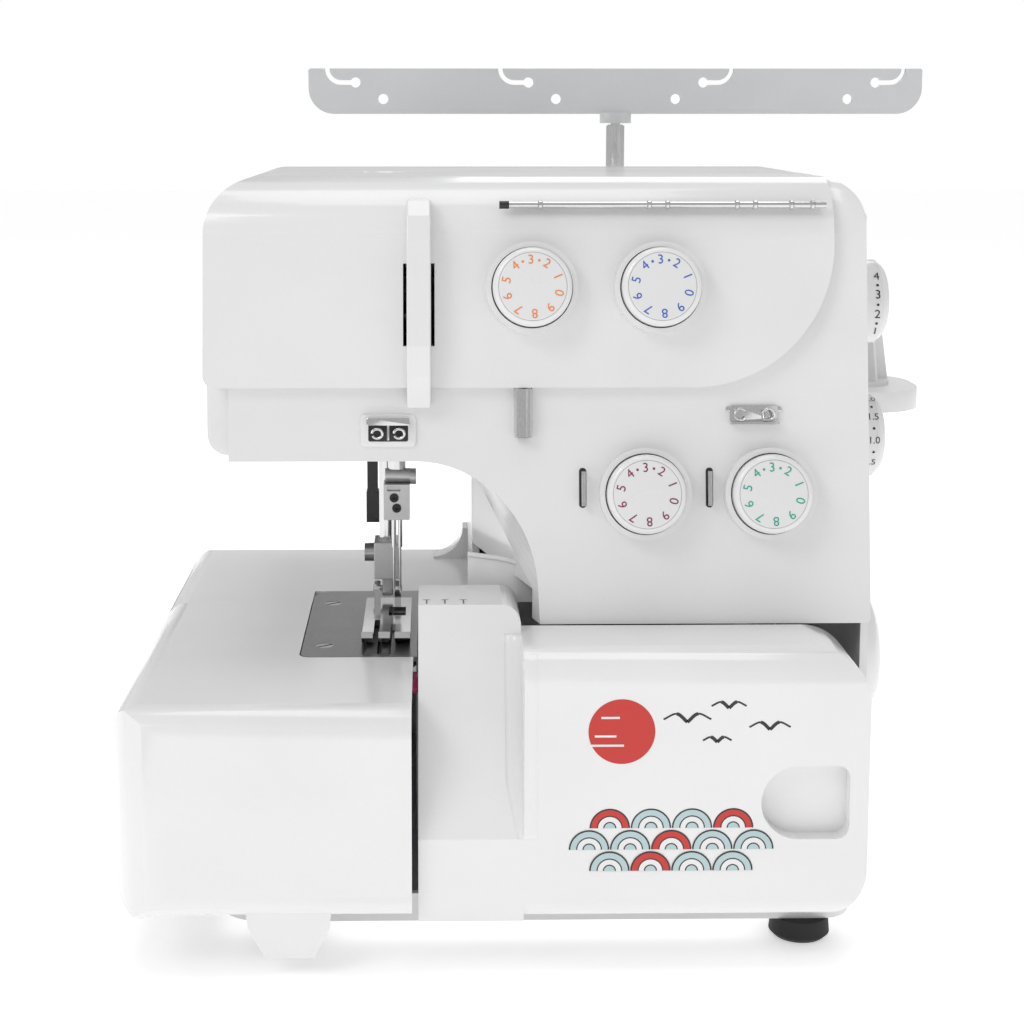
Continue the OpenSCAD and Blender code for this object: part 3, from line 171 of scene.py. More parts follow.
def build_brushed_group() -> bpy.types.NodeTree:
    """Builds the drawn or ground metal skin: fine lines along one axis with faint blotches.

    Returns:
        The group.
    """
    group, start, end = new_group(
        "brushed", {"Line Scale": 260.0, "Across": 14.0}, ("Shade", "Sheen", "Height")
    )
    place = group.nodes.new("ShaderNodeTexCoord")
    split = group.nodes.new("ShaderNodeSeparateXYZ")
    join = group.nodes.new("ShaderNodeCombineXYZ")
    group.links.new(place.outputs["Object"], split.inputs[0])
    for axis in ("X", "Y"):
        spread = math_node(group, "MULTIPLY", split.outputs[axis], start.outputs["Across"])
        group.links.new(spread, join.inputs[axis])
    group.links.new(split.outputs["Z"], join.inputs["Z"])
    lines = group.nodes.new("ShaderNodeTexNoise")
    lines.inputs["Detail"].default_value = 4.0
    group.links.new(join.outputs[0], lines.inputs["Vector"])
    group.links.new(start.outputs["Line Scale"], lines.inputs["Scale"])
    blotch = mapped_noise(group, 60.0, (1, 1, 1), 3.0)
    fine = math_node(group, "MULTIPLY", lines.outputs["Fac"], 0.6)
    mixed = math_node(group, "ADD", fine, math_node(group, "MULTIPLY", blotch, 0.4))
    group.links.new(mixed, end.inputs["Shade"])
    group.links.new(mixed, end.inputs["Sheen"])
    group.links.new(lines.outputs["Fac"], end.inputs["Height"])
    return group


class Skin(Enum):
    """The surface effects that finishes share."""

    MOULDED = "skin"
    BRUSHED = "brushed"


GROUPS = {Skin.MOULDED: build_skin_group(), Skin.BRUSHED: build_brushed_group()}


# ---- finishes
@dataclass(frozen=True)
class Finish:
    """One material: two close shades, a range of roughness and a fine relief.

    Args:
        name: the material's name.
        light: the colour where the skin is at its lightest.
        dark: the colour where it is at its darkest.
        rough: the lowest and highest roughness.
        relief: the depth of the fine relief, in metres.
        metal: how metallic it is.
        coat: the weight of a clear gloss over it.
        through: how much light it lets through.
        skin: which shared effect it carries.
        values: the effect's own input values.
    """

    name: str
    light: tuple[float, float, float]
    dark: tuple[float, float, float]
    rough: tuple[float, float] = (0.2, 0.34)
    relief: float = 0.00001
    metal: float = 0.0
    coat: float = 0.0
    through: float = 0.0
    skin: Skin = Skin.MOULDED
    values: tuple[tuple[str, float], ...] = ()

    def material(self) -> bpy.types.Material:
        """Builds the finish's material on first use.

        Returns:
            The material.
        """
        ready = bpy.data.materials.get("finish_" + self.name)
        if ready:
            return ready
        mat = bpy.data.materials.new("finish_" + self.name)
        mat.use_nodes = True
        tree = mat.node_tree
        shader = tree.nodes["Principled BSDF"]
        effect = tree.nodes.new("ShaderNodeGroup")
        effect.node_tree = GROUPS[self.skin]
        for label, value in self.values:
            effect.inputs[label].default_value = value
        colours = tree.nodes.new("ShaderNodeValToRGB")
        for element, position, colour in zip(colours.color_ramp.elements, RAMP, (self.dark, self.light)):
            element.position = position
            element.color = (*colour, 1)
        tree.links.new(effect.outputs["Shade"], colours.inputs["Fac"])
        tree.links.new(colours.outputs["Color"], shader.inputs["Base Color"])
        gloss = tree.nodes.new("ShaderNodeMapRange")
        gloss.inputs["To Min"].default_value, gloss.inputs["To Max"].default_value = self.rough
        tree.links.new(effect.outputs["Sheen"], gloss.inputs["Value"])
        tree.links.new(gloss.outputs["Result"], shader.inputs["Roughness"])
        bump = tree.nodes.new("ShaderNodeBump")
        bump.inputs["Distance"].default_value = self.relief
        bump.inputs["Strength"].default_value = BUMP_STRENGTH
        tree.links.new(effect.outputs["Height"], bump.inputs["Height"])
        tree.links.new(bump.outputs["Normal"], shader.inputs["Normal"])
        shader.inputs["Metallic"].default_value = self.metal
        shader.inputs["Coat Weight"].default_value = self.coat
        shader.inputs["Coat Roughness"].default_value = COAT_ROUGHNESS
        shader.inputs["Transmission Weight"].default_value = self.through
        return mat


def grey(v: float, blue: float = 0.0) -> tuple[float, float, float]:
    """Mixes a grey.

    Args:
        v: its value.
        blue: how far it is tinted blue, as a small share.

    Returns:
        The colour.
    """
    return (v * (1 - blue), v * (1 - 0.3 * blue), v * (1 + 0.4 * blue))


WHITE = Finish("white_shell", grey(0.84), grey(0.80), (0.16, 0.3), 0.000008, coat=0.35)
WHITE_COVER = Finish("white_cover", grey(0.86), grey(0.82), (0.14, 0.28), 0.000008, coat=0.4)
DIAL_WHITE = Finish("dial_face", grey(0.80), grey(0.77), (0.22, 0.34), 0.000004, coat=0.3)
CREAM = Finish("cream_tray", grey(0.82), grey(0.77), (0.28, 0.42), 0.00001)
CLEAR_WHITE = Finish(
    "milky_guide", (0.80, 0.81, 0.82), (0.74, 0.75, 0.76), (0.2, 0.3), 0.000006, through=0.25, coat=0.2
)
RUBBER = Finish("rubber", grey(0.02), grey(0.012), (0.6, 0.8), 0.00004)
BLACK = Finish("black_plastic", grey(0.022), grey(0.012), (0.3, 0.45), 0.00001, coat=0.1)
BLACK_METAL = Finish("black_metal", grey(0.03), grey(0.015), (0.3, 0.42), 0.00001, metal=0.4)
GREY_PLASTIC = Finish("grey_plastic", grey(0.42), grey(0.36), (0.35, 0.5), 0.00001)
CAST = Finish("cast_metal", grey(0.48, 0.02), grey(0.38, 0.02), (0.42, 0.6), 0.00004, metal=0.7)
CHROME = Finish("chrome", grey(0.72), grey(0.6), (0.08, 0.18), 0.000002, metal=1.0, skin=Skin.BRUSHED)
STEEL = Finish("steel", grey(0.55), grey(0.42), (0.22, 0.38), 0.000004, metal=1.0, skin=Skin.BRUSHED)
DARK_STEEL = Finish("dark_steel", grey(0.2), grey(0.13), (0.3, 0.45), 0.000006, metal=0.9, skin=Skin.BRUSHED)
SATIN_PLATE = Finish(
    "satin_plate",
    grey(0.3),
    grey(0.22),
    (0.28, 0.4),
    0.000004,
    metal=0.9,
    skin=Skin.BRUSHED,
    values=(("Across", 3.0),),
)
PEWTER = Finish("pewter_block", grey(0.62), grey(0.52), (0.3, 0.42), 0.00001, metal=0.6)
PINK = Finish("pink_knob", (0.72, 0.05, 0.22), (0.6, 0.03, 0.16), (0.25, 0.35), coat=0.3)
BRONZE = Finish("bronze", (0.45, 0.28, 0.12), (0.34, 0.2, 0.08), (0.3, 0.45), metal=0.9)
PRINT_RED = Finish("print_red", (0.62, 0.025, 0.015), (0.55, 0.02, 0.012), (0.25, 0.36), 0.000002, coat=0.2)
PRINT_BLACK = Finish("print_black", grey(0.012), grey(0.008), (0.25, 0.36), 0.000002, coat=0.2)
PRINT_BLUE = Finish("print_blue", (0.50, 0.64, 0.66), (0.44, 0.58, 0.6), (0.25, 0.36), 0.000002, coat=0.2)
PRINT_WHITE = Finish("print_white", grey(0.85), grey(0.8), (0.25, 0.36), 0.000002, coat=0.2)
BELT = Finish("belt", grey(0.03), grey(0.018), (0.6, 0.75), 0.00005)


# ---- dressing the frame's own nodes
@dataclass
class FrameDress:
    """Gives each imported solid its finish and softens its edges.

    Args:
        finishes: the finish of each node.
        edges: the edge radius of each node that has moulded or broken edges, in millimetres.
    """

    finishes: dict[str, Finish]
    edges: dict[str, float] = field(default_factory=dict)

    def dress(self) -> None:
        """Dresses every node of the frame."""
        for name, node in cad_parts.items():
            finish = self.finishes.get(name, GREY_PLASTIC)
            if not node.data.materials:
                node.data.materials.append(None)
            for index in range(len(node.material_slots)):
                node.material_slots[index].link = "OBJECT"
                node.material_slots[index].material = finish.material()
            width = self.edges.get(name)
            if width:
                self.soften(node, width * MM)
        LOG.info("dressed %d nodes", len(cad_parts))

    @staticmethod
    def soften(node: bpy.types.Object, width: float) -> None:
        """Rounds a node's sharp edges.

        Args:
            node: the node.
            width: the edge radius, in metres.
        """
        weld = node.modifiers.new("weld", "WELD")
        weld.merge_threshold = WELD
        bevel = node.modifiers.new("edge", "BEVEL")
        bevel.width = width
        bevel.segments = 3
        bevel.limit_method = "ANGLE"
        bevel.angle_limit = SHARP
        bevel.use_clamp_overlap = True
        bevel.harden_normals = True


NODE_FINISHES = {
    node: finish
    for finish, nodes in (
        (
            WHITE,
            "base_tray rear_housing rear_bed_cover front_cover upper_shell take_up_cover handwheel "
            "tension_dial_1 tension_dial_2 tension_dial_3 tension_dial_4",
        ),
        (RUBBER, "rubber_feet"),
        (CAST, "frame_casting arm_bracket"),
        (WHITE_COVER, "side_cover looper_cover"),
        (
            STEEL,
            "side_cover_pin cover_hinge_rod plate_screws head_plate take_up_lever foot_screw pressure_screw "
            "main_shaft needle_thread_guide",
        ),
        (GREY_PLASTIC, "cover_sleeve"),
        (SATIN_PLATE, "needle_plate"),
        (
            CHROME,
            "needle_bar needles presser_bar presser_foot upper_looper lower_looper long_thread_guide "
            "tube_guide double_hook_guide wire_hooks pole_outer pole_middle pole_top",
        ),
        (PEWTER, "needle_clamp foot_holder"),
        (BLACK_METAL, "clamp_screws motor"),
        (BLACK, "presser_lifter power_inlet power_switch"),
        (DARK_STEEL, "feed_dogs upper_knife lower_knife motor_pulley"),
        (BRONZE, "shaft_bushes"),
        (BELT, "drive_belt"),
        (CREAM, "dial_collars stitch_length_dial differential_dial spool_tray cone_holders"),
        (PINK, "finger_knob"),
        (CLEAR_WHITE, "thread_guide_bar"),
    )
    for node in nodes.split()
}
NODE_EDGES = {
    node: width
    for width, nodes in (
        (1.2, "upper_shell rear_housing rear_bed_cover side_cover looper_cover"),
        (0.9, "front_cover"),
        (1.0, "base_tray"),
        (0.6, "take_up_cover"),
        (0.8, "spool_tray"),
        (0.5, "thread_guide_bar handwheel presser_lifter frame_casting"),
        (0.25, "needle_plate"),
        (0.4, "needle_clamp foot_holder"),
        (0.2, "presser_foot"),
    )
    for node in nodes.split()
}


# ---- mesh helpers
def place_mesh(
    name: str, mesh: bmesh.types.BMesh, finish: Finish, body: str, at: Matrix = Matrix(), crease: float = 32.0
) -> bpy.types.Object:
    """Turns a bmesh into a piece that rides on a body.

    Args:
        name: the piece's name.
        mesh: the shape, which is freed.
        finish: its finish.
        body: the body that it rides on.
        at: where it stands.
        crease: the angle above which an edge stays sharp, in degrees.

    Returns:
        The piece.
    """
    bmesh.ops.remove_doubles(mesh, verts=mesh.verts, dist=MERGE)
    bmesh.ops.transform(mesh, matrix=at, verts=mesh.verts)
    bmesh.ops.recalc_face_normals(mesh, faces=mesh.faces)
    data = bpy.data.meshes.new(name)
    mesh.to_mesh(data)
    mesh.free()
    data.shade_smooth()
    data.set_sharp_from_angle(angle=math.radians(crease))
    data.materials.append(finish.material())
    piece = bpy.data.objects.new(name, data)
    bpy.context.collection.objects.link(piece)
    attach(piece, body)
    return piece


def circle(steps: int) -> list[float]:
    """Divides a full turn.

    Args:
        steps: the number of parts.

    Returns:
        The angles, in radians.
    """
    return [2 * math.pi * k / steps for k in range(steps)]


def polar(radius: float, turn: float, x: float = 0.0, y: float = 0.0) -> tuple[float, float]:
    """Places a point about a middle.

    Args:
        radius: how far from the middle it stands.
        turn: its angle, in radians.
        x: the middle's first coordinate.
        y: the middle's second coordinate.

    Returns:
        The point.
    """
    return x + radius * math.cos(turn), y + radius * math.sin(turn)


def join_rows(mesh: bmesh.types.BMesh, rows: list[list[bmesh.types.BMVert]], closed: bool) -> None:
    """Lays a skin over rows of corners.

    Args:
        mesh: the shape to add to.
        rows: the rows, each with the same number of corners.
        closed: whether each row's end joins its start.
    """
    count = len(rows[0])
    for low, high in zip(rows, rows[1:]):
        for k in range(count if closed else count - 1):
            after = (k + 1) % count
            mesh.faces.new((low[k], low[after], high[after], high[k]))


def cap_ends(mesh: bmesh.types.BMesh, rings: list[list[bmesh.types.BMVert]]) -> None:
    """Joins closed rings into a skin and closes both ends of it.

    Args:
        mesh: the shape to add to.
        rings: the rings.
    """
    join_rows(mesh, rings, closed=True)
    mesh.faces.new(rings[0][::-1])
    mesh.faces.new(rings[-1])


def revolve(mesh: bmesh.types.BMesh, profile: list[tuple[float, float]], steps: int = 96) -> None:
    """Turns a profile about Z.

    Args:
        mesh: the shape to add to.
        profile: radius and height of each point; a radius of 0 closes an end.
        steps: the number of facets round.
    """
    rings = []
    for radius, height in profile:
        if radius < MERGE:
            rings.append([mesh.verts.new((0, 0, height))])
        else:
            rings.append([mesh.verts.new((*polar(radius, t), height)) for t in circle(steps)])
    for low, high in zip(rings, rings[1:]):
        for k in range(steps):
            after = k + 1
            corners = (low[k % len(low)], low[after % len(low)], high[after % len(high)], high[k % len(high)])
            distinct = list(dict.fromkeys(corners))
            if len(distinct) > 2:
                mesh.faces.new(distinct)


def revolve_along_x(
    mesh: bmesh.types.BMesh, at: Vector, profile: list[tuple[float, float]], steps: int = 20
) -> None:
    """Turns a profile about a line along X.

    Args:
        mesh: the shape to add to.
        at: a point on the line.
        profile: radius and place along the line of each point.
        steps: the number of facets round.
    """
    rings = []
    for radius, along in profile:
        rings.append([mesh.verts.new((at.x + along, *polar(radius, t, at.y, at.z))) for t in circle(steps)])
    cap_ends(mesh, rings)


def ribbon(mesh: bmesh.types.BMesh, line: list[Vector], width: float, lift: float) -> None:
    """Lays a flat painted stroke along a line in the XY plane.

    Args:
        mesh: the shape to add to.
        line: the middle of the stroke.
        width: its full width.
        lift: its height above the plane.
    """
    sides = []
    for k, spot in enumerate(line):
        ahead = line[min(k + 1, len(line) - 1)] - line[max(k - 1, 0)]
        across = Vector((-ahead.y, ahead.x, 0)).normalized() * width / 2
        sides.append([mesh.verts.new((spot + across * s).to_tuple()[:2] + (lift,)) for s in (1, -1)])
    for a, b in zip(sides, sides[1:]):
        mesh.faces.new((a[0], a[1], b[1], b[0]))


def spot_of_paint(mesh: bmesh.types.BMesh, at: Vector, radius: float, lift: float, steps: int = 24) -> None:
    """Lays a round dot of paint in the XY plane.

    Args:
        mesh: the shape to add to.
        at: its middle.
        radius: its radius.
        lift: its height above the plane.
        steps: the number of corners round.
    """
    mesh.faces.new([mesh.verts.new((*polar(radius, t, at.x, at.y), lift)) for t in circle(steps)])


def rod(mesh: bmesh.types.BMesh, line: list[Vector], radius: float, steps: int = 14) -> None:
    """Sweeps a round wire along a line.

    Args:
        mesh: the shape to add to.
        line: the middle of the wire.
        radius: its radius.
        steps: the number of facets round.
    """
    rings = []
    side = None
    for k, spot in enumerate(line):
        ahead = (line[min(k + 1, len(line) - 1)] - line[max(k - 1, 0)]).normalized()
        if side is None:
            side = ahead.orthogonal().normalized()
        side = (side - ahead * side.dot(ahead)).normalized()
        up = ahead.cross(side)
        reach = [side * math.cos(t) + up * math.sin(t) for t in circle(steps)]
        rings.append([mesh.verts.new(spot + out * radius) for out in reach])
    cap_ends(mesh, rings)


def plate(
    mesh: bmesh.types.BMesh, outline: list[tuple[float, float]], low: float, high: float, edge: float
) -> None:
    """Raises a flat outline into a plate with a rounded upper edge.

    Args:
        mesh: the shape to add to.
        outline: its corners in the XY plane, anticlockwise.
        low: the level of its underside.
        high: the level of its top.
        edge: the radius of the upper edge.
    """
    middle = sum((Vector(c) for c in outline), Vector((0, 0))) / len(outline)
    rows = []
    for inset, level in ((0.0, low), (0.0, high - edge), (0.3 * edge, high - 0.3 * edge), (edge, high)):
        row = []
        for corner in outline:
            spot = Vector(corner)
            inward = (middle - spot).normalized() * inset
            row.append(mesh.verts.new((spot.x + inward.x, spot.y + inward.y, level)))
        rows.append(row)
    cap_ends(mesh, rows)


def rounded(
    x0: float, y0: float, x1: float, y1: float, radius: float, steps: int = 6
) -> list[tuple[float, float]]:
    """Draws a rectangle with rounded corners.

    Args:
        x0: its left side.
        y0: its lower side.
        x1: its right side.
        y1: its upper side.
        radius: the radius of its corners.
        steps: the number of facets round each corner.

    Returns:
        The outline, anticlockwise.
    """
    corners = (
        (x1 - radius, y1 - radius, 0),
        (x0 + radius, y1 - radius, 90),
        (x0 + radius, y0 + radius, 180),
        (x1 - radius, y0 + radius, 270),
    )
    return [
        polar(radius, math.radians(start + 90 * k / steps), x, y) for x, y, start in corners for k in range(steps + 1)
    ]


def bent(points: list[tuple[float, float, float]], steps: int = 8) -> list[Vector]:
    """Draws a smooth line through points, as a Catmull-Rom spline.

    Args:
        points: the points.
        steps: the number of steps from each to the next.

    Returns:
        The line.
    """
    spots = [Vector(p) for p in points]
    spots = [2 * spots[0] - spots[1], *spots, 2 * spots[-1] - spots[-2]]
    line = []
    for a, b, c, d in zip(spots, spots[1:], spots[2:], spots[3:]):
        for k in range(steps):
            t = k / steps
            bend = (2 * a - 5 * b + 4 * c - d) * t * t
            line.append(0.5 * (2 * b + (c - a) * t + bend + (3 * b - a - 3 * c + d) * t**3))
    return [*line, spots[-2]]


def upright(out: float = 0.0) -> Matrix:
    """Finds the plane that faces the front.

    Args:
        out: its depth.

    Returns:
        The place, with its own Z towards the front.
    """
    return Matrix.Translation((0, out, 0)) @ Matrix.Rotation(math.radians(90), 4, "X")


def digit(mesh: bmesh.types.BMesh, text: str, size: float, at: Matrix) -> None:
    """Adds one printed number.

    Args:
        mesh: the shape to add to.
        text: the digits.
        size: the height of the type.
        at: where its middle stands.
    """
    curve = bpy.data.curves.new("type", "FONT")
    curve.body = text
    curve.size = size
    curve.align_x, curve.align_y = "CENTER", "CENTER"
    curve.resolution_u = 4
    holder = bpy.data.objects.new("type", curve)
    bpy.context.collection.objects.link(holder)
    bpy.context.view_layer.update()
    solid = holder.to_mesh()
    solid.transform(at)
    mesh.from_mesh(solid)
    holder.to_mesh_clear()
    bpy.data.objects.remove(holder)
    bpy.data.curves.remove(curve)


@dataclass(frozen=True)
class FrontPanel:
    """The leaning front of the head.

    Args:
        foot_y: its depth at its foot.
        foot_z: the level of its foot.
    """

    foot_y: float = -0.106
    foot_z: float = 0.104

    def depth(self, z: float) -> float:
        """Finds the panel's depth.

        Args:
            z: the level.

        Returns:
            The depth there.
        """
        return self.foot_y + (z - self.foot_z) * math.tan(LEAN)

    def stand(self, x: float, z: float, out: float) -> Matrix:
        """Finds a place on the panel.

        Args:
            x: where it stands, across.
            z: its level.
            out: how far it stands out from the panel.

        Returns:
            The place, with its own Z along the panel's normal.
        """
        normal = Vector((0, -math.cos(LEAN), math.sin(LEAN)))
        turn = Matrix.Rotation(math.radians(90) - LEAN, 4, "X")
        return Matrix.Translation(Vector((x, self.depth(z), z)) + normal * out) @ turn


PANEL = FrontPanel()


# ---- dials
@dataclass
class TensionDials:
    """The four tension dials' faces and their painted numbers.

    Args:
        places: the middle of each dial on the panel, across and up.
        paints: the colour of each dial's numbers.
        proud: how far the panel stands out under each dial.
        height: how far a dial stands out from the panel.
        face_radius: the radius of the inset face.
        number_radius: how far from the middle the numbers stand.
        type_size: the size of the type.
        first_angle: where the 3 stands, in degrees.
        pitch: the angle from each number to the next, in degrees.
        print_lift: how far the numbers stand off the face's middle.
        dot_radius: the radius of the dots beside the 3.
    """

    places: tuple[tuple[float, float], ...] = (
        (-0.023, 0.213),
        (0.0192, 0.213),
        (0.0143, 0.1463),
        (0.0556, 0.1463),
    )
    paints: tuple[tuple[str, tuple[float, float, float]], ...] = (
        ("orange", (0.90, 0.26, 0.07)),
        ("blue", (0.05, 0.13, 0.55)),
        ("maroon", (0.25, 0.03, 0.08)),
        ("green", (0.01, 0.42, 0.30)),
    )
    proud: tuple[float, ...] = (0.004, 0.004, 0.0, 0.0)
    height: float = 0.0105
    face_radius: float = 0.01105
    number_radius: float = 0.0087
    type_size: float = 0.0043
    first_angle: float = 94.0
    pitch: float = 36.0
    print_lift: float = 0.00028
    dot_radius: float = 0.00042

    def build(self) -> None:
        """Builds each dial's face and numbers."""
        for k in range(len(self.places)):
            self.face(k)
            self.numbers(k)
        LOG.info("tension dial faces: %d", len(self.places))

    def stand(self, k: int) -> Matrix:
        """Finds the middle of a dial's face.

        Args:
            k: the dial's number, from 0.

        Returns:
            The place, with its own Z along the dial's axis.
        """
        return PANEL.stand(*self.places[k], self.proud[k] + self.height)

    def face(self, k: int) -> None:
        """Builds a dial's shallow inset face, with a thin grey ring round it as painted shade in the fine groove.

        Args:
            k: the dial's number, from 0.
        """
        r = self.face_radius
        mesh = bmesh.new()
        revolve(mesh, [(r, -0.00015), (r, 0.00008), (r - 0.0001, 0.00016), (r - 0.0004, 0.0002), (0, 0.00024)])
        place_mesh(f"dial_face_{k + 1}", mesh, DIAL_WHITE, f"tension_dial_{k + 1}", self.stand(k), crease=60)
        # a thin grey ring at the face's edge: painted shade in the groove between face and rim
        shaded_groove = bmesh.new()
        revolve(shaded_groove, [(r, 0.00002), (r, 0.00006), (r + 0.00018, 0.00006), (r + 0.00018, 0.00002)])
        place_mesh(f"dial_groove_{k + 1}", shaded_groove, GREY_PLASTIC, f"tension_dial_{k + 1}", self.stand(k))

    def numbers(self, k: int) -> None:
        """Paints 0 to 9 round a dial, with a dot on either side of the 3.

        Args:
            k: the dial's number, from 0.
        """
        mesh = bmesh.new()
        out = Matrix.Translation((0, self.number_radius, self.print_lift))
        for value in range(10):
            angle = self.first_angle + self.pitch * (value - 3)
            turn = Matrix.Rotation(math.radians(angle - 90), 4, "Z")
            digit(mesh, str(value), self.type_size, turn @ out)
        for side in (-self.pitch / 2, self.pitch / 2):
            angle = math.radians(self.first_angle + side)
            at = Vector((math.cos(angle), math.sin(angle), 0)) * self.number_radius
            spot_of_paint(mesh, at, self.dot_radius, self.print_lift)
        name, colour = self.paints[k]
        paint = Finish("paint_" + name, colour, tuple(0.85 * c for c in colour), (0.35, 0.5), 0.000002)
        place_mesh(f"dial_numbers_{k + 1}", mesh, paint, f"tension_dial_{k + 1}", self.stand(k))


# ---- looper cover
class Ink(Enum):
    """The paints of the cover's printed design."""

    BLUE = "blue"
    WHITE = "white"
    RED = "red"
    BLACK = "black"


INK_FINISHES = {Ink.BLUE: PRINT_BLUE, Ink.WHITE: PRINT_WHITE, Ink.RED: PRINT_RED, Ink.BLACK: PRINT_BLACK}


@dataclass
class LooperCoverDress:
    """The looper cover's soft shoulder beside the guard, its tick marks and its printed design.

    Args:
        shoulder_x: where the shoulder turns back, across.
        front_y: the depth of the cover's front.
        top_z: the level of its top.
        scoop_z: the level where the guard's front starts to lean back.
        scoop_top: the level where the scoop ends below the guard's top edge.
        scoop_y: the depth of the guard's front there.
        tick_xs: where the tick marks stand.
        tick_ys: the depth of their front ends and of their feet.
        guard_top: the level of the guard's top.
        skin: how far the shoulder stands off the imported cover.
        bend_steps: the facets round each of the shoulder's two bends.
        wave_pitch: the distance from one printed wave to the next.
        birds: where each printed bird stands, across and up, and its reach.
    """

    shoulder_x: float = -0.027
    front_y: float = -0.141
    top_z: float = 0.104
    scoop_z: float = 0.044
    scoop_top: float = 0.102
    scoop_y: float = -0.117
    tick_xs: tuple[float, ...] = (-0.0577, -0.0517, -0.0456)
    tick_ys: tuple[float, float] = (-0.1095, -0.1045)
    guard_top: float = 0.112
    skin: float = 0.00012
    bend_steps: int = 6
    wave_pitch: float = 0.013
    birds: tuple[tuple[float, float, float], ...] = (
        (0.024, 0.082, 0.0075),
        (0.037, 0.0865, 0.0055),
        (0.0335, 0.0755, 0.0045),
        (0.050, 0.0795, 0.0065),
    )

    def build(self) -> None:
        """Builds the shoulder, the marks and the design."""
        self.shoulder()
        self.ticks()
        self.design()
        LOG.info("looper cover dressed")

    def guard_y(self, z: float) -> float:
        """Finds the depth of the guard's front.

        Args:
            z: the level.

        Returns:
            The depth there.
        """
        if z <= self.scoop_z:
            return self.front_y
        if z <= self.scoop_top:
            return self.front_y + 0.024 * (z - self.scoop_z) / (self.scoop_top - self.scoop_z)
        return self.scoop_y + 0.006 * (z - self.scoop_top) / 0.01

    def cover_y(self, z: float) -> float:
        """Finds the depth of the cover's front, with its rounded top edge.

        Args:
            z: the level.

        Returns:
            The depth there.
        """
        edge = 0.01
        rise = max(0.0, z - (self.top_z - edge))
        return self.front_y + edge - math.sqrt(max(0.0, edge * edge - rise * rise))

    def shoulder(self) -> None:
        """Builds the wall between the cover's front and the guard's, with soft edges."""
        mesh = bmesh.new()
        rows = []
        steps = 48
        turns = [math.radians(90 * j / self.bend_steps) for j in range(self.bend_steps + 1)]
        x = self.shoulder_x - 0.00015
        for k in range(steps + 1):
            z = self.scoop_z + (self.top_z - 0.0002 - self.scoop_z) * k / steps
            near, far = self.cover_y(z) - self.skin, self.guard_y(z) - self.skin
            drop = max(0.0, far - near)
            lip, foot = min(0.0022, 0.45 * drop), min(0.0035, 0.5 * drop)
            row = [(x + 0.006, near + 0.0004), (x + 0.004, near)]
            row += [(x + lip - lip * math.sin(t), near + lip - lip * math.cos(t)) for t in turns]
            row += [(x - foot + foot * math.cos(t), far - foot + foot * math.sin(t)) for t in turns]
            row += [(x - foot - 0.002, far + 0.0001)]
            rows.append([mesh.verts.new((px, py, z)) for px, py in row])
        join_rows(mesh, rows, closed=False)
        piece = place_mesh("looper_shoulder", mesh, WHITE_COVER, "looper_cover", crease=80)
        thick = piece.modifiers.new("wall", "SOLIDIFY")
        thick.thickness = 0.0012
        thick.offset = -1.0

    def ticks(self) -> None:
        """Paints the three tick marks on the guard's top, each with a short foot."""
        mesh = bmesh.new()
        near, far = self.tick_ys
        for x in self.tick_xs:
            for line in (((x, near, 0), (x, far, 0)), ((x - 0.0012, far, 0), (x + 0.0012, far, 0))):
                ribbon(mesh, [Vector(c) for c in line], 0.0005, self.guard_top + PAINT)
        place_mesh("guard_ticks", mesh, PRINT_BLACK, "looper_cover")

    def design(self) -> None:
        """Prints a plain design of a sun, round waves and birds on the cover's front."""
        inks = {ink: bmesh.new() for ink in Ink}
        sun_x, sun_z, sun_radius = 0.0035, 0.079, 0.0105
        spot_of_paint(inks[Ink.RED], Vector((sun_x, sun_z, 0)), sun_radius, PAINT, 64)
        for k, (level, reach) in enumerate(((0.0745, 0.0112), (0.0775, 0.0068), (0.0835, 0.0058))):
            start = sun_x - sun_radius + 0.002 * k
            ribbon(inks[Ink.WHITE], [Vector((start, level, 0)), Vector((start + reach, level, 0))], 0.0007, 0.0001)
        for row, (level, first, count) in enumerate(((0.0475, 0.0, 4), (0.0405, -0.0065, 5), (0.0335, 0.0, 4))):
            for k in range(count):
                at = Vector((first + self.wave_pitch * k, level, 0))
                self.wave(inks, at, PAINT + 0.00008 * row, (row + k) % 3 == 0)
        for x, z, span in self.birds:
            self.bird(inks[Ink.BLACK], Vector((x, z, 0)), span)
        for ink, mesh in inks.items():
            place_mesh("cover_print_" + ink.value, mesh, INK_FINISHES[ink], "looper_cover", upright(self.front_y))

    @staticmethod
    def wave(inks: dict[Ink, bmesh.types.BMesh], at: Vector, lift: float, bold: bool) -> None:
        """Prints one round wave as nested half rings.

        Args:
            inks: the print of each ink.
            at: the middle of its foot.
            lift: its height above the plane.
            bold: whether its outer band is red.
        """
        outer = Ink.RED if bold else Ink.BLUE
        bands = zip(
            (0.0064, 0.0059, 0.0041, 0.0037, 0.0021, 0.0017),
            (Ink.BLACK, outer, Ink.BLACK, Ink.WHITE, Ink.BLACK, Ink.BLUE),
        )
        steps = 28
        turns = [math.pi * j / steps for j in range(steps + 1)]
        for k, (radius, ink) in enumerate(bands):
            mesh = inks[ink]
            level = lift + 0.000012 * k
            mesh.faces.new([mesh.verts.new((*polar(radius, t, at.x, at.y), level)) for t in turns])

    @staticmethod
    def bird(mesh: bmesh.types.BMesh, at: Vector, span: float) -> None:
        """Prints one bird as a pair of bent strokes.

        Args:
            mesh: the print that it is added to.
            at: where its wings meet.
            span: the reach of each wing.
        """
        for side in (-1, 1):
            wing = ((0, 0), (0.45, 0.36), (1, 0.12))
            line = bent([(at.x + side * along * span, at.y + up * span, 0) for along, up in wing])
            half = len(line) // 2
            for width, part in ((0.0011, line[: half + 1]), (0.0006, line[half:])):
                ribbon(mesh, part, width, PAINT)


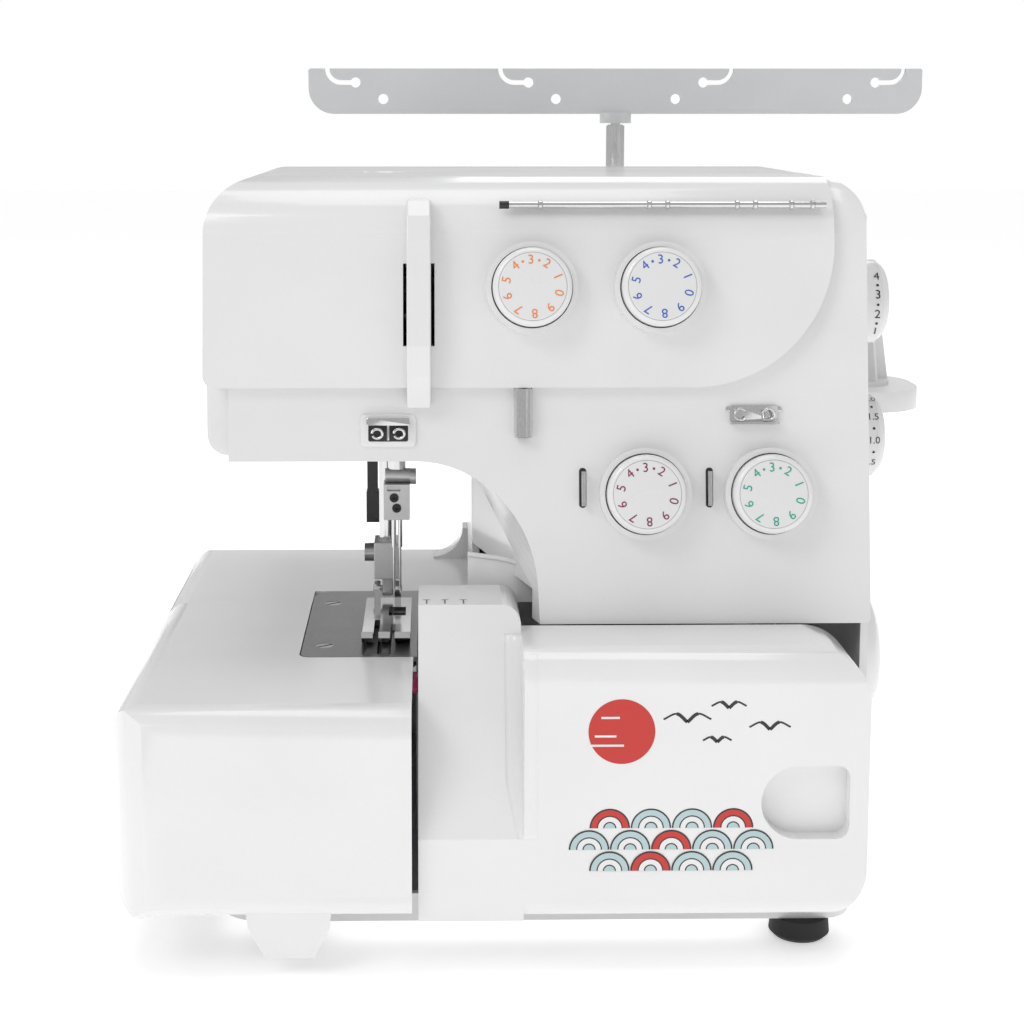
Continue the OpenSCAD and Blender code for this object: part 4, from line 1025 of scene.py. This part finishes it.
# ---- thread guides
@dataclass
class ThreadGuides:
    """The bright guides on the head's front: the long bar, the double hook and the needle thread guide.

    Args:
        bar_x: the long bar's ends, across.
        bar_z: its level.
        bar_y: the depth of its middle.
        bumps: where the beads on the bar stand, from its left end.
        wall_edge: the upper edge of the throat's inner wall, across and up.
        wall_foot: the level of that wall's lower edge.
        wall_y: its depth.
    """

    bar_x: tuple[float, float] = (-0.0335, 0.0745)
    bar_z: float = 0.2412
    bar_y: float = -0.0885
    bumps: tuple[float, ...] = (0.0135, 0.0495, 0.0555, 0.0785, 0.0845, 0.0965, 0.1035)
    wall_edge: tuple[tuple[float, float], ...] = (
        (-0.0437, 0.1215),
        (-0.0385, 0.1208),
        (-0.0325, 0.1199),
        (-0.0262, 0.1182),
        (-0.0225, 0.1155),
        (-0.0193, 0.1105),
        (-0.0178, 0.1045),
    )
    wall_foot: float = 0.1045
    wall_y: float = -0.079

    def build(self) -> None:
        """Builds the guides."""
        self.long_bar()
        self.double_hook()
        self.needle_guide()
        self.hook_slots()
        self.throat_wall()
        self.tube()
        LOG.info("thread guides built")

    def long_bar(self) -> None:
        """Builds the long half-round bar with its beads, its flange and its dark end."""
        x0, x1 = self.bar_x
        y, z = self.bar_y, self.bar_z
        mesh = bmesh.new()
        rod(mesh, [Vector((x0 + 0.003, y, z)), Vector((x1, y, z))], 0.00115, 20)
        bead = [(0.0011, -0.0009), (0.00165, -0.0004), (0.00165, 0.0004), (0.0011, 0.0009)]
        for bump in self.bumps:
            revolve_along_x(mesh, Vector((x0 + bump, y, z)), bead)
        near, far = y + 0.006 - 2.2 * 0.0021, y + 0.006 - 2.2 * 0.0008
        flange = [(x0 + 0.004, near), (x1 - 0.001, near), (x1 - 0.001, far), (x0 + 0.004, far)]
        plate(mesh, flange, z - 0.0006, z + 0.0004, 0.0001)
        bar = place_mesh("long_guide_bar", mesh, CHROME, "machine")
        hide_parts("long_thread_guide")
        end = bmesh.new()
        rod(end, [Vector((x0, y, z)), Vector((x0 + 0.0032, y, z))], 0.0013, 20)
        place_mesh("long_guide_end", end, BLACK, "machine")

    def double_hook(self) -> None:
        """Builds the double-hook guide: a bright plate with two curled loops and a tongue at each end."""
        at = PANEL.stand(0.0509, 0.1722, 0.0)
        mesh = bmesh.new()
        plate(mesh, rounded(-0.008, -0.0032, 0.008, 0.003, 0.0012), 0.00002, 0.0009, 0.0002)
        for x0, x1 in ((-0.0093, -0.0074), (0.0074, 0.0093)):
            plate(mesh, rounded(x0, 0.0008, x1, 0.0024, 0.0006), 0.00002, 0.0007, 0.0001)
        for x, turn in ((-0.0046, 0), (0.0046, 180)):
            root = (x + 0.0016 * math.cos(math.radians(turn + 40)), 0.0011, 0.0006)
            loop = [
                (*polar(0.0019, math.radians(turn + a), x, -0.0002), 0.0016 + 0.0016 * (a - 40) / 280)
                for a in range(40, 321, 40)
            ]
            rod(mesh, bent([root, *loop]), 0.00048)
        lip = [(-0.008, -0.0034), (0.008, -0.0034), (0.008, -0.0026), (-0.008, -0.0026)]
        plate(mesh, lip, 0.0005, 0.0036, 0.0002)
        piece = place_mesh("double_hook_loops", mesh, CHROME, "machine", at)
        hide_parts("double_hook_guide")

    def tube(self) -> None:
        """Builds the bright half tube and its dark lower end."""
        mesh = bmesh.new()
        first, sweep, steps = -10, 200, 20
        turns = [math.radians(first + sweep * k / steps) for k in range(steps + 1)]
        reach, rim, inner, outer = 0.0078, 0.0029, 0.0024, 0.0031
        rows = []
        for r, z in (
            (inner, -reach + 0.0002),
            (rim, -reach),
            (outer, -reach + 0.0004),
            (outer, reach - 0.0004),
            (rim, reach),
            (inner, reach - 0.0002),
        ):
            rows.append([mesh.verts.new((r * math.cos(t), z, r * math.sin(t))) for t in turns])
        join_rows(mesh, rows, closed=False)
        at = PANEL.stand(-0.0256, 0.1738, 0.0)
        place_mesh("tube_guide_face", mesh, CHROME, "machine", at, crease=60)
        dark = bmesh.new()
        plate(dark, rounded(-0.0022, -0.0094, 0.0022, -0.0076, 0.0006), 0.0, 0.0012, 0.0002)
        place_mesh("tube_guide_end", dark, BLACK, "machine", at)

    def throat_wall(self) -> None:
        """Builds the inner wall below the arch, with a flange along its upper edge."""
        at = upright(self.wall_y)
        mesh = bmesh.new()
        plate(mesh, [*self.wall_edge[::-1], (self.wall_edge[0][0], self.wall_foot)], -0.0008, 0.0008, 0.0003)
        place_mesh("throat_wall", mesh, WHITE, "machine", at)
        lip = bmesh.new()
        rod(lip, bent([(x, z, 0.0008) for x, z in self.wall_edge]), 0.0009)
        place_mesh("throat_flange", lip, WHITE, "machine", at)

    def needle_guide(self) -> None:
        """Builds the needle thread guide: a white bracket, a black plate as painted shade in its recess, a bright bar
        and two hooks.
        """
        at = PANEL.stand(-0.0703, 0.1668, 0.0)
        frame_mesh = bmesh.new()
        plate(frame_mesh, rounded(-0.0092, -0.0052, 0.0092, 0.0056, 0.0016), -0.0012, 0.0011, 0.0005)
        place_mesh("needle_guide_bracket", frame_mesh, WHITE, "machine", at)
        # a black plate on the bracket: painted shade in its recess
        dark = bmesh.new()
        plate(dark, rounded(-0.0066, -0.0034, 0.0066, 0.0022, 0.0006), 0.0008, 0.00115, 0.0001)
        place_mesh("needle_guide_recess_shade", dark, BLACK, "machine", at)
        bright = bmesh.new()
        plate(bright, rounded(-0.0072, 0.0018, 0.0072, 0.0044, 0.0006), 0.0009, 0.0036, 0.0004)
        plate(bright, rounded(-0.0004, -0.0030, 0.0004, 0.0022, 0.0002), 0.0009, 0.0018, 0.0001)
        turns = [math.radians(a) for a in range(-150, 181, 30)]
        for x in (-0.0036, 0.0036):
            loop = [
                (x + 0.0017 * math.cos(t), -0.0008 + 0.0015 * math.sin(t), 0.0018 + 0.0003 * k / 2)
                for k, t in enumerate(turns)
            ]
            rod(bright, bent(loop), 0.0005)
        piece = place_mesh("needle_guide_hooks", bright, CHROME, "machine", at)
        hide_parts("needle_thread_guide")

    def hook_slots(self) -> None:
        """Builds black plates behind the two wire hooks as painted shade in their slots."""
        for k, x in enumerate((-0.0060, 0.0360)):
            mesh = bmesh.new()
            # a black plate flush with the panel: painted shade in the slot's opening
            plate(mesh, rounded(-0.0012, -0.0066, 0.0012, 0.0066, 0.0011), -0.0004, 0.00012, 0.00005)
            place_mesh(f"painted_slot_shade_{k + 1}", mesh, BLACK, "machine", PANEL.stand(x, 0.1482, 0.0))


# ---- side dials
@dataclass
class SideDials:
    """The numbers round the rims of the two dials on the right side.

    Args:
        axis_y: the depth of both axes.
        rim_radius: the radius of the rims.
        number_x: how far right the numbers stand.
        type_size: the size of the type.
    """

    axis_y: float = -0.011
    rim_radius: float = 0.0154
    number_x: float = 0.1076
    type_size: float = 0.0046

    def build(self) -> None:
        """Builds the numbers of both dials."""
        self.ring("stitch_length_dial", 0.2015, ("1", "2", "3", "4"), 27.0, -40.0, self.type_size)
        self.ring("differential_dial", 0.1507, (".5", "1.0", "1.5", "2.0"), 33.0, -31.0, self.type_size * 0.8)
        LOG.info("side dial numbers painted")

    def ring(
        self, body: str, level: float, marks: tuple[str, ...], pitch: float, first: float, size: float
    ) -> None:
        """Paints a dial's numbers, upright as they pass the front, with a dot between each two.

        Args:
            body: the dial's body.
            level: the level of its axis.
            marks: the numbers, from the lowest up.
            pitch: the angle from each to the next, in degrees.
            first: the angle of the first, in degrees.
            size: the height of the type.
        """
        mesh = bmesh.new()
        dot_radius = 0.0005
        for k, mark in enumerate(marks):
            digit(mesh, mark, size, self.seat(level, first + pitch * k))
            if k + 1 < len(marks):
                seat = self.seat(level, first + pitch * (k + 0.5))
                corners = [seat @ Vector((*polar(dot_radius, t), 0.0)) for t in circle(24)]
                mesh.faces.new([mesh.verts.new(c) for c in corners])
        place_mesh(body + "_numbers", mesh, PRINT_BLACK, body)
        band = bmesh.new()
        r = self.rim_radius
        profile = [(r - 0.0006, -0.0165), (r + 0.00012, -0.016), (r + 0.00012, 0.0016), (r - 0.0006, 0.0021)]
        revolve_along_x(band, Vector((self.number_x, self.axis_y, level)), profile, 96)
        place_mesh(body + "_band", band, DIAL_WHITE, body, crease=60)

    def seat(self, level: float, angle: float) -> Matrix:
        """Finds the place of a mark on a rim.

        Args:
            level: the level of the dial's axis.
            angle: how far above the front it stands, in degrees.

        Returns:
            The place, with its own Z away from the axis.
        """
        t = math.radians(angle)
        out = Vector((0, -math.cos(t), math.sin(t)))
        up = Vector((0, math.sin(t), math.cos(t)))
        spot = Vector((self.number_x, self.axis_y, level)) + out * (self.rim_radius + 0.00022)
        return Matrix.Translation(spot) @ Matrix((Vector((1, 0, 0)), up, out)).transposed().to_4x4()


# ---- studio
@dataclass
class Studio:
    """The floor, the lights and the camera.

    Args:
        eye: where the camera stands.
        lens: its focal length, in millimetres.
        pitch: how far it looks down, in degrees.
        yaw: how far it looks left, in degrees.
        shift: the frame's shift across and up, in widths of the sensor.
        floor_size: the side of the floor.
        surround: how brightly the white surround lights the part.
        glow: how brightly the paper floor glows, as a lit backdrop.
    """

    eye: tuple[float, float, float] = (-0.0555, -0.7081, 0.2708)
    lens: float = 65.97
    pitch: float = 7.41
    yaw: float = -0.86
    shift: tuple[float, float] = (0.05, -0.15)
    floor_size: float = 12.0
    surround: float = 0.54
    glow: float = 0.48

    def build(self) -> None:
        """Builds the studio."""
        self.floor()
        self.lights()
        self.camera()
        LOG.info("studio ready")

    def floor(self) -> None:
        """Builds the flat pale floor."""
        mesh = bmesh.new()
        half = self.floor_size / 2
        rim = [(-half, -half), (half, -half), (half, half), (-half, half)]
        mesh.faces.new([mesh.verts.new((x, y, CAD_BOX[0].z - 0.0004)) for x, y in rim])
        data = bpy.data.meshes.new("floor")
        mesh.to_mesh(data)
        mesh.free()
        floor = bpy.data.objects.new("floor", data)
        bpy.context.collection.objects.link(floor)
        paper = Finish("paper_floor", grey(0.93), grey(0.92), (0.6, 0.7), 0.000005).material()
        shader = paper.node_tree.nodes["Principled BSDF"]
        shader.inputs["Emission Color"].default_value = (1, 1, 1, 1)
        shader.inputs["Emission Strength"].default_value = self.glow
        data.materials.append(paper)

    def lights(self) -> None:
        """Builds a white surround and four soft lights."""
        world = bpy.data.worlds.new("surround")
        world.use_nodes = True
        tree = world.node_tree
        tree.nodes["Background"].inputs["Color"].default_value = (1, 1, 1, 1)
        rays = tree.nodes.new("ShaderNodeLightPath")
        blend = tree.nodes.new("ShaderNodeMapRange")
        blend.inputs["To Min"].default_value = self.surround
        blend.inputs["To Max"].default_value = 1.0
        tree.links.new(rays.outputs["Is Camera Ray"], blend.inputs["Value"])
        tree.links.new(blend.outputs["Result"], tree.nodes["Background"].inputs["Strength"])
        bpy.context.scene.world = world
        bpy.context.scene.view_settings.view_transform = "Standard"
        for name, place, size, power in (
            ("key", (-1.1, -1.0, 1.3), 0.7, 6.0),
            ("fill", (1.3, -1.3, 0.9), 1.0, 1.0),
            ("top", (-0.1, 0.0, 1.9), 1.0, 7.0),
            ("rim", (0.4, 1.5, 1.1), 1.0, 4.0),
        ):
            lamp = bpy.data.lights.new(name, "AREA")
            lamp.size = size
            lamp.energy = power
            holder = bpy.data.objects.new(name, lamp)
            holder.location = place
            aim = TARGET - Vector(place)
            holder.rotation_euler = aim.to_track_quat("-Z", "Y").to_euler()
            bpy.context.collection.objects.link(holder)

    def camera(self) -> None:
        """Builds the camera."""
        lens = bpy.data.cameras.new("camera")
        lens.lens = self.lens
        lens.sensor_width = SENSOR
        lens.shift_x, lens.shift_y = self.shift
        holder = bpy.data.objects.new("camera", lens)
        holder.location = self.eye
        holder.rotation_euler = Euler((math.radians(90 - self.pitch), 0, math.radians(self.yaw)))
        bpy.context.collection.objects.link(holder)
        bpy.context.scene.camera = holder


def main() -> None:
    """Builds the scene in order."""
    logging.basicConfig(level=logging.INFO, format="%(message)s")
    Studio().build()
    FrameDress(NODE_FINISHES, NODE_EDGES).dress()
    TensionDials().build()
    LooperCoverDress().build()
    ThreadGuides().build()
    SideDials().build()


if __name__ == "__main__":
    main()
